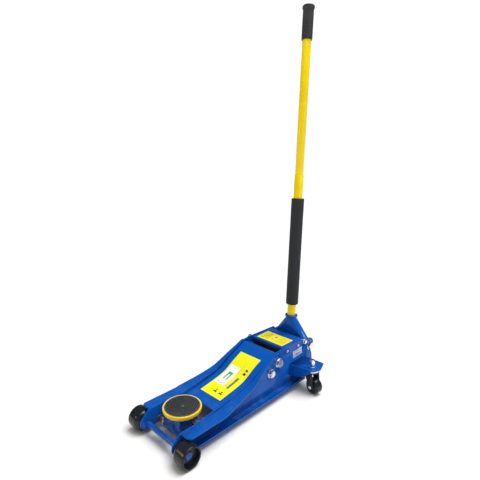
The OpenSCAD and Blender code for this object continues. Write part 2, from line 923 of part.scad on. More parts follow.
module caster_wheel() {
    half = caster_w / 2;
    translate([caster_trail, 0, caster_r]) rotate([90, 0, 0]) rotate_extrude()
        polygon(concat([[caster_axle_r + run_gap, -half - 1.1], [11, -half - 1.1], [11, -half + 3],
            [caster_r - 11, -half + 3], [caster_r - 9, -half]],
            arc([caster_r - tread_round, -half + tread_round], tread_round, -90, 0),
            arc([caster_r - tread_round, half - tread_round], tread_round, 0, 90),
            [[caster_r - 9, half], [caster_r - 11, half - 3], [11, half - 3], [11, half + 1.1],
                [caster_axle_r + run_gap, half + 1.1]]));
}

module caster_fork_right() {
    color(black) placed() at_caster() caster_fork();
}

module caster_fork_left() {
    color(black) placed() mirror([1, 0, 0]) at_caster() caster_fork();
}

module caster_axle_right() {
    color(zinc) placed() at_caster() caster_axle();
}

module caster_axle_left() {
    color(zinc) placed() mirror([1, 0, 0]) at_caster() caster_axle();
}

module caster_wheel_right() {
    color(black) placed() at_caster() caster_wheel();
}

module caster_wheel_left() {
    color(black) placed() mirror([1, 0, 0]) at_caster() caster_wheel();
}

// ---- Labels ----

module arm_label() {
    color(yellow_paint) placed() intersection() {
        across(-52, 52)
            polygon(concat(lowered(rail_line, arm_drop - label_t),
                reversed(lowered(rail_line, arm_drop))));
        translate([-52, 203, 0])
            cube([104, 213, rail_high_z]);
    }
}

module frame_labels() {
    color(yellow_paint) placed() {
        translate([-66.5, 527, cover_z])
            cube([133, 73, label_t]);
        across(plate_out, plate_out + label_t)
            polygon([[575, 119], [634, 123], [632, 153], [571, 148]]);
    }
}

side_plate_right();
side_plate_left();
front_axle();
axle_caps();
front_wheel_right();
front_wheel_left();
rear_cover();
cover_screws();
spreader_tube();
stop_rod();
handle_pivot_bolts();
arm_pivot_shaft();
arm_pivot_bolts();
link_pivot_bolts();
return_springs();
pump_block();
pump_block_bolts();
power_cylinder();
reservoir_shell();
gland_cap();
filler_plug();
ram();
ram_head();
pump_plungers();
pump_springs();
release_valve();
lift_arm();
arm_pivot_tube();
arm_bushes();
crank_pin();
crank_roller();
yoke_pin();
saddle_yoke();
link_pin();
link_spacers();
link_rod_right();
link_rod_left();
saddle_cup();
saddle_pad();
pad_screw();
handle_socket();
roller_pin();
pump_rollers();
handle_lower_tube();
handle_upper_tube();
release_coupling();
foam_sleeve();
handle_grip();
caster_bracket_right();
caster_bracket_left();
caster_bolts();
caster_bearings();
caster_fork_right();
caster_fork_left();
caster_axle_right();
caster_axle_left();
caster_wheel_right();
caster_wheel_left();
arm_label();
frame_labels();
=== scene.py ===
"""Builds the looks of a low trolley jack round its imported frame: painted pressings, plated
fasteners, a ribbed saddle pad, foam and rubber on the handle, and a plain studio about it."""

import json
import logging
import math
from dataclasses import dataclass, field, replace
from enum import Enum

import bmesh
import bpy
from mathutils import Matrix, Vector, noise


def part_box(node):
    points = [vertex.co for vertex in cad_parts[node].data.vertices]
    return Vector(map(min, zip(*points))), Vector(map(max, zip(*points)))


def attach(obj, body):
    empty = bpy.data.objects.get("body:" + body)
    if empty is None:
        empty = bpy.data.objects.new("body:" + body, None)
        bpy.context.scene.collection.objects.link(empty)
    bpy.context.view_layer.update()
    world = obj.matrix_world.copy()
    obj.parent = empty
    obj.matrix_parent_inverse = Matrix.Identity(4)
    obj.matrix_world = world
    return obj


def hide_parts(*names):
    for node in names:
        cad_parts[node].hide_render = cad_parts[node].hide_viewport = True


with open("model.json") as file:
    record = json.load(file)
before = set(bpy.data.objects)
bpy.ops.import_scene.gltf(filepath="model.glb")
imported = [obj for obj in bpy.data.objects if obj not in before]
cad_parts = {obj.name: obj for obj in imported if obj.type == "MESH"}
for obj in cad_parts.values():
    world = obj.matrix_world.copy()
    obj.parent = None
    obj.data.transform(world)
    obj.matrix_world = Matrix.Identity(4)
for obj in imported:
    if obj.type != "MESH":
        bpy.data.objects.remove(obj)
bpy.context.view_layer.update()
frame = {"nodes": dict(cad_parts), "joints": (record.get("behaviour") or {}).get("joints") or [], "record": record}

MM = 0.001
BODY_OF = {node: body for body, nodes in frame["record"]["behaviour"]["bodies"].items() for node in nodes}

logging.basicConfig(level=logging.INFO, format="%(name)s: %(message)s")
log = logging.getLogger("jack")


class Slot(Enum):
    """The record's material slots."""

    BLUE = "blue_paint"
    YELLOW = "yellow_paint"
    ZINC = "zinc_steel"
    GOLD = "gold_zinc"
    STEEL = "dark_steel"
    CHROME = "chrome_rod"
    WHEEL = "black_wheel"
    PAD = "pad_rubber"
    FOAM = "foam_rubber"
    BLACK = "black_paint"
    LABEL = "yellow_label"


class Side(Enum):
    """The two sides of the jack, as the sign of X."""

    RIGHT = 1
    LEFT = -1


# ---- Stations, taken from the frame ----


def middle(node: str) -> Vector:
    """Finds the middle of a node's box.

    Args:
        node: the CAD node's name.

    Returns:
        The box's centre in metres.
    """
    low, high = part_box(node)
    return (low + high) / 2


@dataclass(frozen=True)
class HandleAxis:
    """The handle's own line, which leans back from the pivot bolts.

    Attributes:
        foot: a point on the line, level with the pivot bolts.
        along: the unit vector up the handle.
    """

    foot: Vector
    along: Vector

    @classmethod
    def from_frame(cls) -> "HandleAxis":
        """Reads the line from the joint that twists the handle."""
        twist = next(j for j in frame["joints"] if j["name"] == "handle_twist")
        along = Vector(twist["axis"]).normalized()
        if along.z < 0:
            along = -along
        start = Vector(twist["pos_m"])
        pivot = middle("handle_pivot_bolts")
        return cls(start + along * along.dot(pivot - start), along)

    def matrix(self) -> Matrix:
        """Gives the transform from a piece drawn up Z from the foot to its place."""
        across = Vector((1, 0, 0))
        back = self.along.cross(across)
        turn = Matrix((across, back, self.along)).transposed()
        return Matrix.Translation(self.foot) @ turn.to_4x4()

    def height(self, point: Vector) -> float:
        """Gives how far up the line a point lies, in metres."""
        return self.along.dot(point - self.foot)


# ---- Mesh work ----


@dataclass(frozen=True)
class Bend:
    """One pass of rounding on the edges of a copied node.

    Attributes:
        width: how far the rounding reaches from the edge, in millimetres.
        segments: how many faces go round it.
        sharper: the least angle between the faces, in degrees.
        convex: True for outer corners alone, False for inner corners alone, None for both.
        inside: a box, as (x, y, z) pairs of limits in metres of |x|, y and z, or None.
        wear: how worn the rounding is, from 0 to 1.
    """

    width: float
    segments: int = 2
    sharper: float = 28
    convex: bool | None = None
    inside: tuple[tuple[float, float], ...] | None = None
    wear: float = 1.0

    def takes(self, edge: bmesh.types.BMEdge) -> bool:
        """Says whether an edge is one of those that this pass rounds."""
        if len(edge.link_faces) != 2 or edge.calc_face_angle(0) < math.radians(self.sharper):
            return False
        if self.convex is not None and edge.is_convex != self.convex:
            return False
        if self.inside is None:
            return True
        spots = [(abs(v.co.x), v.co.y, v.co.z) for v in edge.verts]
        return all(low <= spot[i] <= high for spot in spots for i, (low, high) in enumerate(self.inside))


def node_copy(node: str) -> bmesh.types.BMesh:
    """Copies a CAD node's mesh, with its loose triangles joined into whole faces.

    Args:
        node: the CAD node's name.

    Returns:
        The copy, in metres.
    """
    work = bmesh.new()
    work.from_mesh(frame["nodes"][node].data)
    bmesh.ops.remove_doubles(work, verts=work.verts, dist=2e-6)
    bmesh.ops.dissolve_degenerate(work, edges=work.edges, dist=2e-6)
    bmesh.ops.dissolve_limit(work, angle_limit=math.radians(0.5), verts=work.verts, edges=work.edges)
    bmesh.ops.recalc_face_normals(work, faces=work.faces)
    return work


def bend_edges(work: bmesh.types.BMesh, bends: list[Bend]) -> None:
    """Rounds a mesh's edges, pass by pass, and marks the roundings as worn.

    Args:
        work: the mesh, which is changed.
        bends: the passes, in order.
    """
    worn = work.faces.layers.float.get("worn") or work.faces.layers.float.new("worn")
    for bend in bends:
        edges = [e for e in work.edges if bend.takes(e)]
        if not edges:
            continue
        made = bmesh.ops.bevel(work, geom=edges, offset=bend.width * MM, segments=bend.segments,
                               profile=0.5, affect="EDGES", clamp_overlap=True)
        for face in made["faces"]:
            face[worn] = bend.wear


def finished(work: bmesh.types.BMesh, name: str, smooth_below: float = 32) -> bpy.types.Object:
    """Turns a mesh into an object, smooth but for its sharp edges.

    Args:
        work: the mesh, which is freed.
        name: the object's name.
        smooth_below: edges sharper than this, in degrees, stay crisp.

    Returns:
        The object, linked to the scene, at the origin.
    """
    mesh = bpy.data.meshes.new(name)
    for face in work.faces:
        face.smooth = True
    work.to_mesh(mesh)
    work.free()
    mesh.set_sharp_from_angle(angle=math.radians(smooth_below))
    made = bpy.data.objects.new(name, mesh)
    bpy.context.scene.collection.objects.link(made)
    return made


def lathe(profile: list[tuple[float, float]], sides: int) -> bmesh.types.BMesh:
    """Spins a closed outline about Z.

    Args:
        profile: (radius, height) points round the outline, in metres.
        sides: how many faces go round.

    Returns:
        The closed mesh.
    """
    work = bmesh.new()
    rings = []
    for radius, height in profile:
        if radius < 1e-9:
            rings.append([work.verts.new((0, 0, height))] * sides)
            continue
        turns = [2 * math.pi * k / sides for k in range(sides)]
        rings.append([work.verts.new((radius * math.cos(a), radius * math.sin(a), height)) for a in turns])
    for i, ring in enumerate(rings):
        after = rings[(i + 1) % len(rings)]
        for k in range(sides):
            corners = [ring[k], ring[(k + 1) % sides], after[(k + 1) % sides], after[k]]
            distinct = list(dict.fromkeys(corners))
            if len(distinct) > 2:
                work.faces.new(distinct)
    bmesh.ops.recalc_face_normals(work, faces=work.faces)
    return work


def fillet(centre: tuple[float, float], radius: float, start: float, end: float,
           steps: int = 6) -> list[tuple[float, float]]:
    """Gives points round an arc of an outline.

    Args:
        centre: the arc's centre.
        radius: its radius.
        start: the angle that it starts from, in degrees.
        end: the angle that it ends at, in degrees.
        steps: how many straight pieces it has.

    Returns:
        The points, both ends included.
    """
    angles = [math.radians(start + (end - start) * i / steps) for i in range(steps + 1)]
    return [(centre[0] + radius * math.cos(a), centre[1] + radius * math.sin(a)) for a in angles]


def settle(piece: bpy.types.Object, nodes: list[str], material: bpy.types.Material) -> None:
    """Gives a piece its finish, its body and the CAD nodes that it stands for.

    Args:
        piece: the object, in place.
        nodes: the CAD nodes, which all ride on one body.
        material: the finish.
    """
    piece.data.materials.clear()
    piece.data.materials.append(material)
    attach(piece, BODY_OF[nodes[0]])
    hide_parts(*nodes)
    log.info("%s stands for %s, %d faces", piece.name, ", ".join(nodes), len(piece.data.polygons))


# ---- Finishes ----


Term = bpy.types.NodeSocket | float | tuple[float, ...]   # what may feed a node's input


class Graph:
    """Adds and joins the nodes of one tree."""

    def __init__(self, tree: bpy.types.NodeTree) -> None:
        """Takes the tree to work in."""
        self.tree = tree

    def add(self, kind: str, values: dict | None = None, **settings) -> bpy.types.Node:
        """Adds a node.

        Args:
            kind: the node's Blender type.
            values: input names or numbers with a constant or an output socket for each.
            settings: the node's own properties.

        Returns:
            The node.
        """
        node = self.tree.nodes.new(kind)
        for name, value in settings.items():
            setattr(node, name, value)
        for key, value in (values or {}).items():
            if isinstance(value, bpy.types.NodeSocket):
                self.tree.links.new(value, node.inputs[key])
            else:
                node.inputs[key].default_value = value
        return node

    def math(self, operation: str, *terms: Term, clamp: bool = False) -> bpy.types.NodeSocket:
        """Adds a Math node and gives its result."""
        node = self.add("ShaderNodeMath", dict(enumerate(terms)), operation=operation, use_clamp=clamp)
        return node.outputs[0]

    def spread(self, value: Term, low: float, high: float, to_low: float = 0.0,
               to_high: float = 1.0) -> bpy.types.NodeSocket:
        """Maps a value from one range to another, smoothly and without overshoot."""
        node = self.add("ShaderNodeMapRange", {"Value": value, "From Min": low, "From Max": high,
                                               "To Min": to_low, "To Max": to_high},
                        interpolation_type="SMOOTHSTEP")
        return node.outputs[0]

    def mix(self, share: Term, first: Term, second: Term, blend: str = "MIX") -> bpy.types.NodeSocket:
        """Mixes two colours by a share."""
        node = self.add("ShaderNodeMix", data_type="RGBA", blend_type=blend)
        for key, value in ((0, share), (6, first), (7, second)):
            if isinstance(value, bpy.types.NodeSocket):
                self.tree.links.new(value, node.inputs[key])
            else:
                node.inputs[key].default_value = value
        return node.outputs[2]

    def noise(self, place: bpy.types.NodeSocket, scale: float, detail: float = 3.0,
              rough: float = 0.5) -> bpy.types.NodeSocket:
        """Adds a noise texture and gives its value."""
        node = self.add("ShaderNodeTexNoise", {"Vector": place, "Scale": scale, "Detail": detail,
                                               "Roughness": rough})
        return node.outputs[0]


def rgba(colour: tuple[float, float, float]) -> tuple[float, float, float, float]:
    """Adds a full alpha to a colour."""
    return (*colour, 1.0)


def new_group(name: str, inputs: dict[str, float], outputs: list[str]) -> tuple[bpy.types.NodeTree, Graph]:
    """Starts a shader node group.

    Args:
        name: the group's name.
        inputs: each value input's name, with its default.
        outputs: the names of the value outputs.

    Returns:
        The group, and a graph to fill it with. Its ends are the nodes "in" and "out".
    """
    tree = bpy.data.node_groups.new(name, "ShaderNodeTree")
    for label, value in inputs.items():
        tree.interface.new_socket(label, in_out="INPUT", socket_type="NodeSocketFloat").default_value = value
    for label in outputs:
        tree.interface.new_socket(label, in_out="OUTPUT", socket_type="NodeSocketFloat")
    graph = Graph(tree)
    graph.add("NodeGroupInput", name="in")
    graph.add("NodeGroupOutput", name="out")
    return tree, graph


def close_group(tree: bpy.types.NodeTree, results: dict[str, bpy.types.NodeSocket]) -> bpy.types.NodeTree:
    """Joins a group's results to its outputs and gives the group back."""
    for label, socket in results.items():
        tree.links.new(socket, tree.nodes["out"].inputs[label])
    return tree


def mottle_group() -> bpy.types.NodeTree:
    """Makes the group that varies a finish: broad clouds with a finer speckle on them."""
    tree, graph = new_group("mottle", {"Broad": 9.0, "Fine": 120.0, "Speckle": 0.35}, ["Value"])
    source = tree.nodes["in"].outputs
    place = graph.add("ShaderNodeTexCoord").outputs["Object"]
    broad = graph.noise(place, source["Broad"], 4.0, 0.55)
    fine = graph.noise(place, source["Fine"], 2.0, 0.6)
    offset = graph.math("MULTIPLY", graph.math("SUBTRACT", fine, 0.5), source["Speckle"])
    return close_group(tree, {"Value": graph.spread(graph.math("ADD", broad, offset), 0.3, 0.7)})


def wear_group() -> bpy.types.NodeTree:
    """Makes the group that says where a rounded edge is rubbed, broken up by noise."""
    tree, graph = new_group("edge_wear", {"Amount": 0.4, "Scale": 90.0}, ["Mask"])
    source = tree.nodes["in"].outputs
    place = graph.add("ShaderNodeTexCoord").outputs["Object"]
    worn = graph.add("ShaderNodeAttribute", attribute_name="worn").outputs["Fac"]
    patches = graph.noise(place, source["Scale"], 5.0, 0.7)
    level = graph.math("ADD", patches, graph.math("SUBTRACT", source["Amount"], 0.5))
    rubbed = graph.spread(level, 0.42, 0.62)
    return close_group(tree, {"Mask": graph.math("MULTIPLY", rubbed, worn, clamp=True)})


def dust_group() -> bpy.types.NodeTree:
    """Makes the group that lays dust on what lies low."""
    tree, graph = new_group("dust", {"Amount": 0.25, "Reach": 0.12}, ["Mask"])
    source = tree.nodes["in"].outputs
    place = graph.add("ShaderNodeTexCoord").outputs["Object"]
    height = graph.add("ShaderNodeSeparateXYZ", {0: place}).outputs["Z"]
    low = graph.math("SUBTRACT", 1.0, graph.math("DIVIDE", height, source["Reach"]), clamp=True)
    drifts = graph.spread(graph.noise(place, 26.0, 5.0, 0.65), 0.45, 0.75)
    return close_group(tree, {"Mask": graph.math("MULTIPLY", graph.math("MULTIPLY", low, drifts),
                                                 source["Amount"], clamp=True)})


def hollow_shade_group() -> bpy.types.NodeTree:
    """Makes the group that tells the tops of a patterned face from its hollows, by height, for painted shade in
    the hollows.
    """
    tree, graph = new_group("raised", {"Floor": 0.1, "Top": 0.102}, ["Mask"])
    source = tree.nodes["in"].outputs
    place = graph.add("ShaderNodeTexCoord").outputs["Object"]
    height = graph.add("ShaderNodeSeparateXYZ", {0: place}).outputs["Z"]
    share = graph.math("DIVIDE", graph.math("SUBTRACT", height, source["Floor"]),
                       graph.math("SUBTRACT", source["Top"], source["Floor"]))
    return close_group(tree, {"Mask": graph.spread(share, 0.25, 0.95)})


class Relief(Enum):
    """The fine shape of a surface."""

    ORANGE_PEEL = "orange_peel"
    PLATED = "plated"
    TURNED = "turned"
    MOULDED = "moulded"
    PORES = "pores"


def relief_group(relief: Relief) -> bpy.types.NodeTree:
    """Makes the group that gives one relief's height, from 0 to 1.

    Args:
        relief: which surface it is.

    Returns:
        The group.
    """
    tree, graph = new_group("relief_" + relief.value, {"Scale": 300.0}, ["Height"])
    scale = tree.nodes["in"].outputs["Scale"]
    place = graph.add("ShaderNodeTexCoord").outputs["Object"]
    if relief is Relief.PORES:
        cells = graph.add("ShaderNodeTexVoronoi", {"Vector": place, "Scale": scale, "Randomness": 1.0})
        height = graph.spread(cells.outputs["Distance"], 0.12, 0.5)
    elif relief is Relief.TURNED:
        rings = graph.add("ShaderNodeTexWave", {"Vector": place, "Scale": scale, "Distortion": 2.5,
                                                "Detail": 2.0}, wave_type="RINGS")
        height = rings.outputs["Fac"]
    elif relief is Relief.MOULDED:
        coarse = graph.noise(place, scale, 6.0, 0.75)
        height = graph.spread(coarse, 0.25, 0.75)
    elif relief is Relief.PLATED:
        height = graph.noise(place, scale, 8.0, 0.8)
    else:
        waves = graph.noise(place, scale, 1.0, 0.4)
        height = graph.spread(waves, 0.2, 0.8)
    return close_group(tree, {"Height": height})


GROUPS: dict[str, bpy.types.NodeTree] = {
    "mottle": mottle_group(),
    "wear": wear_group(),
    "dust": dust_group(),
    "raised": hollow_shade_group(),
    **{relief.value: relief_group(relief) for relief in Relief},
}


@dataclass(frozen=True)
class Finish:
    """A paint, plating, plastic or rubber.

    Attributes:
        name: the material's name.
        colour: its usual colour.
        shade: the colour that it drifts to in patches.
        bare: what a rubbed edge shows.
        rough: its least and greatest roughness.
        metallic: how metallic it is.
        clear: the weight of its clear coat.
        relief: its fine shape.
        grain: how many grains of that shape fit in a metre.
        depth: how deep that shape is, in millimetres.
        wear: how far its edges are rubbed, from 0 to 1.
        dust: how much dust it holds near the floor, from 0 to 1.
        sheen: the weight of its soft sheen.
        specular: how strongly its own surface reflects, 0.5 being usual.
        painted_hollow_shade: the heights in metres between which it rises from painted shade, near black,
            in its hollows to its own colour, or None where it has no hollows.
    """

    name: str
    colour: tuple[float, float, float]
    shade: tuple[float, float, float]
    bare: tuple[float, float, float]
    rough: tuple[float, float]
    metallic: float = 0.0
    clear: float = 0.0
    relief: Relief = Relief.ORANGE_PEEL
    grain: float = 300.0
    depth: float = 0.04
    wear: float = 0.3
    dust: float = 0.2
    sheen: float = 0.0
    specular: float = 0.5
    painted_hollow_shade: tuple[float, float] | None = None

    def build(self) -> bpy.types.Material:
        """Makes the material.

        Returns:
            The material, with its colour, roughness and relief from nodes.
        """
        material = bpy.data.materials.new(self.name)
        material.use_nodes = True
        graph = Graph(material.node_tree)
        shader = material.node_tree.nodes["Principled BSDF"]
        mottle = self._group(graph, "mottle").outputs["Value"]
        worn = self._group(graph, "wear", {"Amount": self.wear}).outputs["Mask"]
        dust = self._group(graph, "dust", {"Amount": self.dust}).outputs["Mask"]
        height = self._group(graph, self.relief.value, {"Scale": self.grain}).outputs["Height"]
        coat = graph.mix(mottle, rgba(self.colour), rgba(self.shade))
        rubbed = graph.mix(worn, coat, rgba(self.bare))
        if self.painted_hollow_shade:
            raised = self._group(graph, "raised", dict(zip(("Floor", "Top"), self.painted_hollow_shade))).outputs["Mask"]
            # painted shade: the hollows below a patterned face's tops are painted near black
            rubbed = graph.mix(raised, rgba((0.002, 0.002, 0.0025)), rubbed)
        dusty = graph.mix(dust, rubbed, rgba((0.32, 0.3, 0.27)))
        rough = graph.spread(mottle, 0.0, 1.0, *self.rough)
        rough = graph.math("ADD", rough, graph.math("MULTIPLY", dust, 0.3), clamp=True)
        bump = graph.add("ShaderNodeBump", {"Strength": 1.0, "Distance": self.depth * MM, "Height": height})
        for name, socket in (("Base Color", dusty), ("Roughness", rough), ("Normal", bump.outputs[0])):
            graph.tree.links.new(socket, shader.inputs[name])
        shader.inputs["Metallic"].default_value = self.metallic
        shader.inputs["Coat Weight"].default_value = self.clear
        shader.inputs["Coat Roughness"].default_value = 0.08
        shader.inputs["Sheen Weight"].default_value = self.sheen
        shader.inputs["Specular IOR Level"].default_value = self.specular
        material.diffuse_color = rgba(self.colour)
        return material

    @staticmethod
    def _group(graph: Graph, key: str, values: dict | None = None) -> bpy.types.Node:
        """Places one of the shared groups."""
        node = graph.add("ShaderNodeGroup", node_tree=GROUPS[key])
        for name, value in (values or {}).items():
            node.inputs[name].default_value = value
        return node


class Stock(Enum):
    """The finishes that the jack is made in."""

    BLUE = Finish("blue_enamel", (0.0, 0.083, 0.41), (0.0, 0.07, 0.35), (0.02, 0.2, 0.62),
                  (0.16, 0.26), clear=0.12, grain=420, depth=0.05, wear=0.34, specular=0.22)
    CUP_YELLOW = Finish("cup_yellow_enamel", (0.86, 0.58, 0.0), (0.78, 0.49, 0.0), (0.95, 0.82, 0.2),
                        (0.2, 0.32), clear=0.12, grain=380, depth=0.06, wear=0.5, specular=0.25)
    TUBE_YELLOW = Finish("tube_yellow_enamel", (0.92, 0.7, 0.0), (0.86, 0.6, 0.0), (0.95, 0.8, 0.2),
                         (0.18, 0.28), clear=0.12, grain=420, depth=0.04, wear=0.25, specular=0.25)
    ZINC = Finish("bright_zinc", (0.78, 0.8, 0.83), (0.62, 0.65, 0.69), (0.9, 0.91, 0.92), (0.16, 0.34),
                  metallic=1.0, relief=Relief.PLATED, grain=700, depth=0.03, wear=0.5)
    GOLD = Finish("yellow_zinc", (0.83, 0.6, 0.2), (0.72, 0.52, 0.26), (0.9, 0.8, 0.5), (0.2, 0.36),
                  metallic=1.0, relief=Relief.PLATED, grain=600, depth=0.03, wear=0.5)
    STEEL = Finish("oiled_steel", (0.2, 0.2, 0.205), (0.13, 0.125, 0.12), (0.5, 0.5, 0.5), (0.32, 0.52),
                   metallic=0.85, relief=Relief.PLATED, grain=240, depth=0.12, wear=0.5)
    CHROME = Finish("hard_chrome", (0.85, 0.86, 0.88), (0.74, 0.75, 0.78), (0.9, 0.9, 0.9), (0.05, 0.13),
                    metallic=1.0, relief=Relief.TURNED, grain=260, depth=0.004, wear=0.2)
    NYLON = Finish("black_nylon", (0.009, 0.0105, 0.016), (0.013, 0.015, 0.021), (0.04, 0.04, 0.046),
                   (0.14, 0.24), relief=Relief.MOULDED, grain=160, depth=0.025, wear=0.3, dust=0.05,
                   specular=0.3)
    PAD = Finish("pad_rubber", (0.045, 0.05, 0.056), (0.07, 0.076, 0.084), (0.16, 0.165, 0.175),
                 (0.52, 0.72), relief=Relief.MOULDED, grain=500, depth=0.05, wear=0.8, dust=0.0, specular=0.3)
    FOAM = Finish("foam_rubber", (0.019, 0.0205, 0.024), (0.028, 0.03, 0.034), (0.06, 0.063, 0.068),
                  (0.62, 0.82), relief=Relief.PORES, grain=900, depth=0.22, wear=0.3, dust=0.0, specular=0.3)
    GRIP = Finish("grip_rubber", (0.012, 0.0125, 0.014), (0.02, 0.0205, 0.022), (0.05, 0.05, 0.055),
                  (0.38, 0.56), relief=Relief.MOULDED, grain=420, depth=0.06, wear=0.3, dust=0.0, sheen=0.05)
    BLACK = Finish("black_enamel", (0.009, 0.009, 0.011), (0.014, 0.014, 0.016), (0.12, 0.12, 0.13),
                   (0.3, 0.46), clear=0.2, grain=360, depth=0.05, wear=0.45)


class Stores:
    """Builds each finish once and hands it out."""

    def __init__(self) -> None:
        """Starts with nothing built."""
        self.built: dict[Stock, bpy.types.Material] = {}

    def get(self, stock: Stock) -> bpy.types.Material:
        """Gives the material of a finish."""
        if stock not in self.built:
            self.built[stock] = stock.value.build()
        return self.built[stock]


# ---- Geometry Nodes ----


class Tree:
    """A geometry node tree with named inputs, and a way to run it once on a mesh."""

    def __init__(self, name: str, inputs: dict[str, str]) -> None:
        """Starts a tree.

        Args:
            name: the tree's name.
            inputs: each extra input's name, with its kind, such as Float, Int, Object or Material.
        """
        self.tree = bpy.data.node_groups.new(name, "GeometryNodeTree")
        self.graph = Graph(self.tree)
        self.sockets: dict[str, str] = {}
        face = self.tree.interface
        face.new_socket("Geometry", in_out="INPUT", socket_type="NodeSocketGeometry")
        for label, kind in inputs.items():
            made = face.new_socket(label, in_out="INPUT", socket_type="NodeSocket" + kind)
            self.sockets[label] = made.identifier
        face.new_socket("Geometry", in_out="OUTPUT", socket_type="NodeSocketGeometry")
        self.source = self.graph.add("NodeGroupInput").outputs

    def end(self, geometry: bpy.types.NodeSocket) -> None:
        """Realizes the instances, sets the material and closes the tree."""
        real = self.graph.add("GeometryNodeRealizeInstances", {0: geometry}).outputs[0]
        dressed = self.graph.add("GeometryNodeSetMaterial",
                                 {"Geometry": real, "Material": self.source["Material"]})
        self.graph.add("NodeGroupOutput", {"Geometry": dressed.outputs[0]})

    def run(self, base: bpy.types.Mesh, name: str, values: dict[str, object]) -> bpy.types.Object:
        """Runs the tree on a mesh and keeps the plain result.

        Args:
            base: the mesh that it starts from.
            name: the new object's name.
            values: the inputs' values by name.

        Returns:
            The object, with no modifier left on it.
        """
        holder = bpy.data.objects.new(name + "_base", base)
        bpy.context.scene.collection.objects.link(holder)
        modifier = holder.modifiers.new("repeat", "NODES")
        modifier.node_group = self.tree
        for label, value in values.items():
            modifier[self.sockets[label]] = value
        bpy.context.view_layer.update()
        seen = holder.evaluated_get(bpy.context.evaluated_depsgraph_get())
        mesh = bpy.data.meshes.new_from_object(seen)
        mesh.name = name
        bpy.data.objects.remove(holder)
        made = bpy.data.objects.new(name, mesh)
        bpy.context.scene.collection.objects.link(made)
        return made


def placing_tree() -> Tree:
    """Makes the tree that sets one part down at each point, facing the way that the point says."""
    tree = Tree("place_fasteners", {"Part": "Object", "Material": "Material"})
    graph = tree.graph
    facing = graph.add("GeometryNodeInputNamedAttribute", {"Name": "facing"}, data_type="FLOAT_VECTOR")
    spin = graph.add("GeometryNodeInputNamedAttribute", {"Name": "spin"}, data_type="FLOAT")
    turn = graph.add("FunctionNodeAlignRotationToVector", {"Vector": facing.outputs["Attribute"]}, axis="Z")
    about = graph.add("FunctionNodeAxisAngleToRotation",
                      {"Axis": (0, 0, 1), "Angle": spin.outputs["Attribute"]})
    both = graph.add("FunctionNodeRotateRotation",
                     {"Rotation": turn.outputs[0], "Rotate By": about.outputs[0]},
                     rotation_space="LOCAL")
    part = graph.add("GeometryNodeObjectInfo", {"Object": tree.source["Part"]}, transform_space="ORIGINAL")
    placed = graph.add("GeometryNodeInstanceOnPoints", {"Points": tree.source["Geometry"],
                                                        "Instance": part.outputs["Geometry"],
                                                        "Rotation": both.outputs[0]})
    tree.end(placed.outputs[0])
    return tree


def ridge_tree() -> Tree:
    """Makes the tree that ribs a round pad: two crossed rows of bars, each as long as its chord."""
    tree = Tree("cross_ridges", {"Radius": "Float", "Pitch": "Float", "Width": "Float", "Height": "Float",
                                 "Turn": "Float", "Material": "Material"})
    graph, source = tree.graph, tree.source
    half_count = graph.math("FLOOR", graph.math("DIVIDE", source["Radius"], source["Pitch"]))
    count = graph.math("MULTIPLY", half_count, 2.0)
    count = graph.math("ADD", count, 1.0)
    bar = graph.add("GeometryNodeMeshCone",
                    {"Vertices": 4, "Radius Top": 0.5, "Radius Bottom": 0.72, "Depth": 1.0},
                    fill_type="NGON")
    upright = graph.add("GeometryNodeTransform", {"Geometry": bar.outputs["Mesh"],
                                                  "Rotation": (0, 0, math.radians(45))})
    half_gaps = graph.math("MULTIPLY", graph.math("SUBTRACT", count, 1.0), -0.5)
    first = graph.math("MULTIPLY", half_gaps, source["Pitch"])
    start = graph.add("ShaderNodeCombineXYZ", {"X": first})
    step = graph.add("ShaderNodeCombineXYZ", {"X": source["Pitch"]})
    line = graph.add("GeometryNodeMeshLine", {"Count": count, "Start Location": start.outputs[0],
                                              "Offset": step.outputs[0]}, mode="OFFSET")
    place = graph.add("ShaderNodeSeparateXYZ", {0: graph.add("GeometryNodeInputPosition").outputs[0]})
    square = graph.math("MULTIPLY", place.outputs["X"], place.outputs["X"])
    reach = graph.math("MULTIPLY", source["Radius"], source["Radius"])
    chord = graph.math("MULTIPLY", graph.math("SQRT", graph.math("SUBTRACT", reach, square)), 2.0)
    size = graph.add("ShaderNodeCombineXYZ", {"X": source["Width"], "Y": chord, "Z": source["Height"]})
    row = graph.add("GeometryNodeInstanceOnPoints",
                    {"Points": line.outputs[0], "Instance": upright.outputs[0], "Scale": size.outputs[0]})
    crossed = graph.add("GeometryNodeTransform",
                        {"Geometry": row.outputs[0], "Rotation": (0, 0, math.radians(90))})
    rows = graph.add("GeometryNodeJoinGeometry")
    for part in (row, crossed):
        graph.tree.links.new(part.outputs[0], rows.inputs[0])
    angle = graph.add("ShaderNodeCombineXYZ", {"Z": source["Turn"]})
    turned = graph.add("GeometryNodeTransform", {"Geometry": rows.outputs[0], "Rotation": angle.outputs[0]})
    whole = graph.add("GeometryNodeJoinGeometry")
    graph.tree.links.new(turned.outputs[0], whole.inputs[0])
    graph.tree.links.new(source["Geometry"], whole.inputs[0])
    tree.end(whole.outputs[0])
    return tree


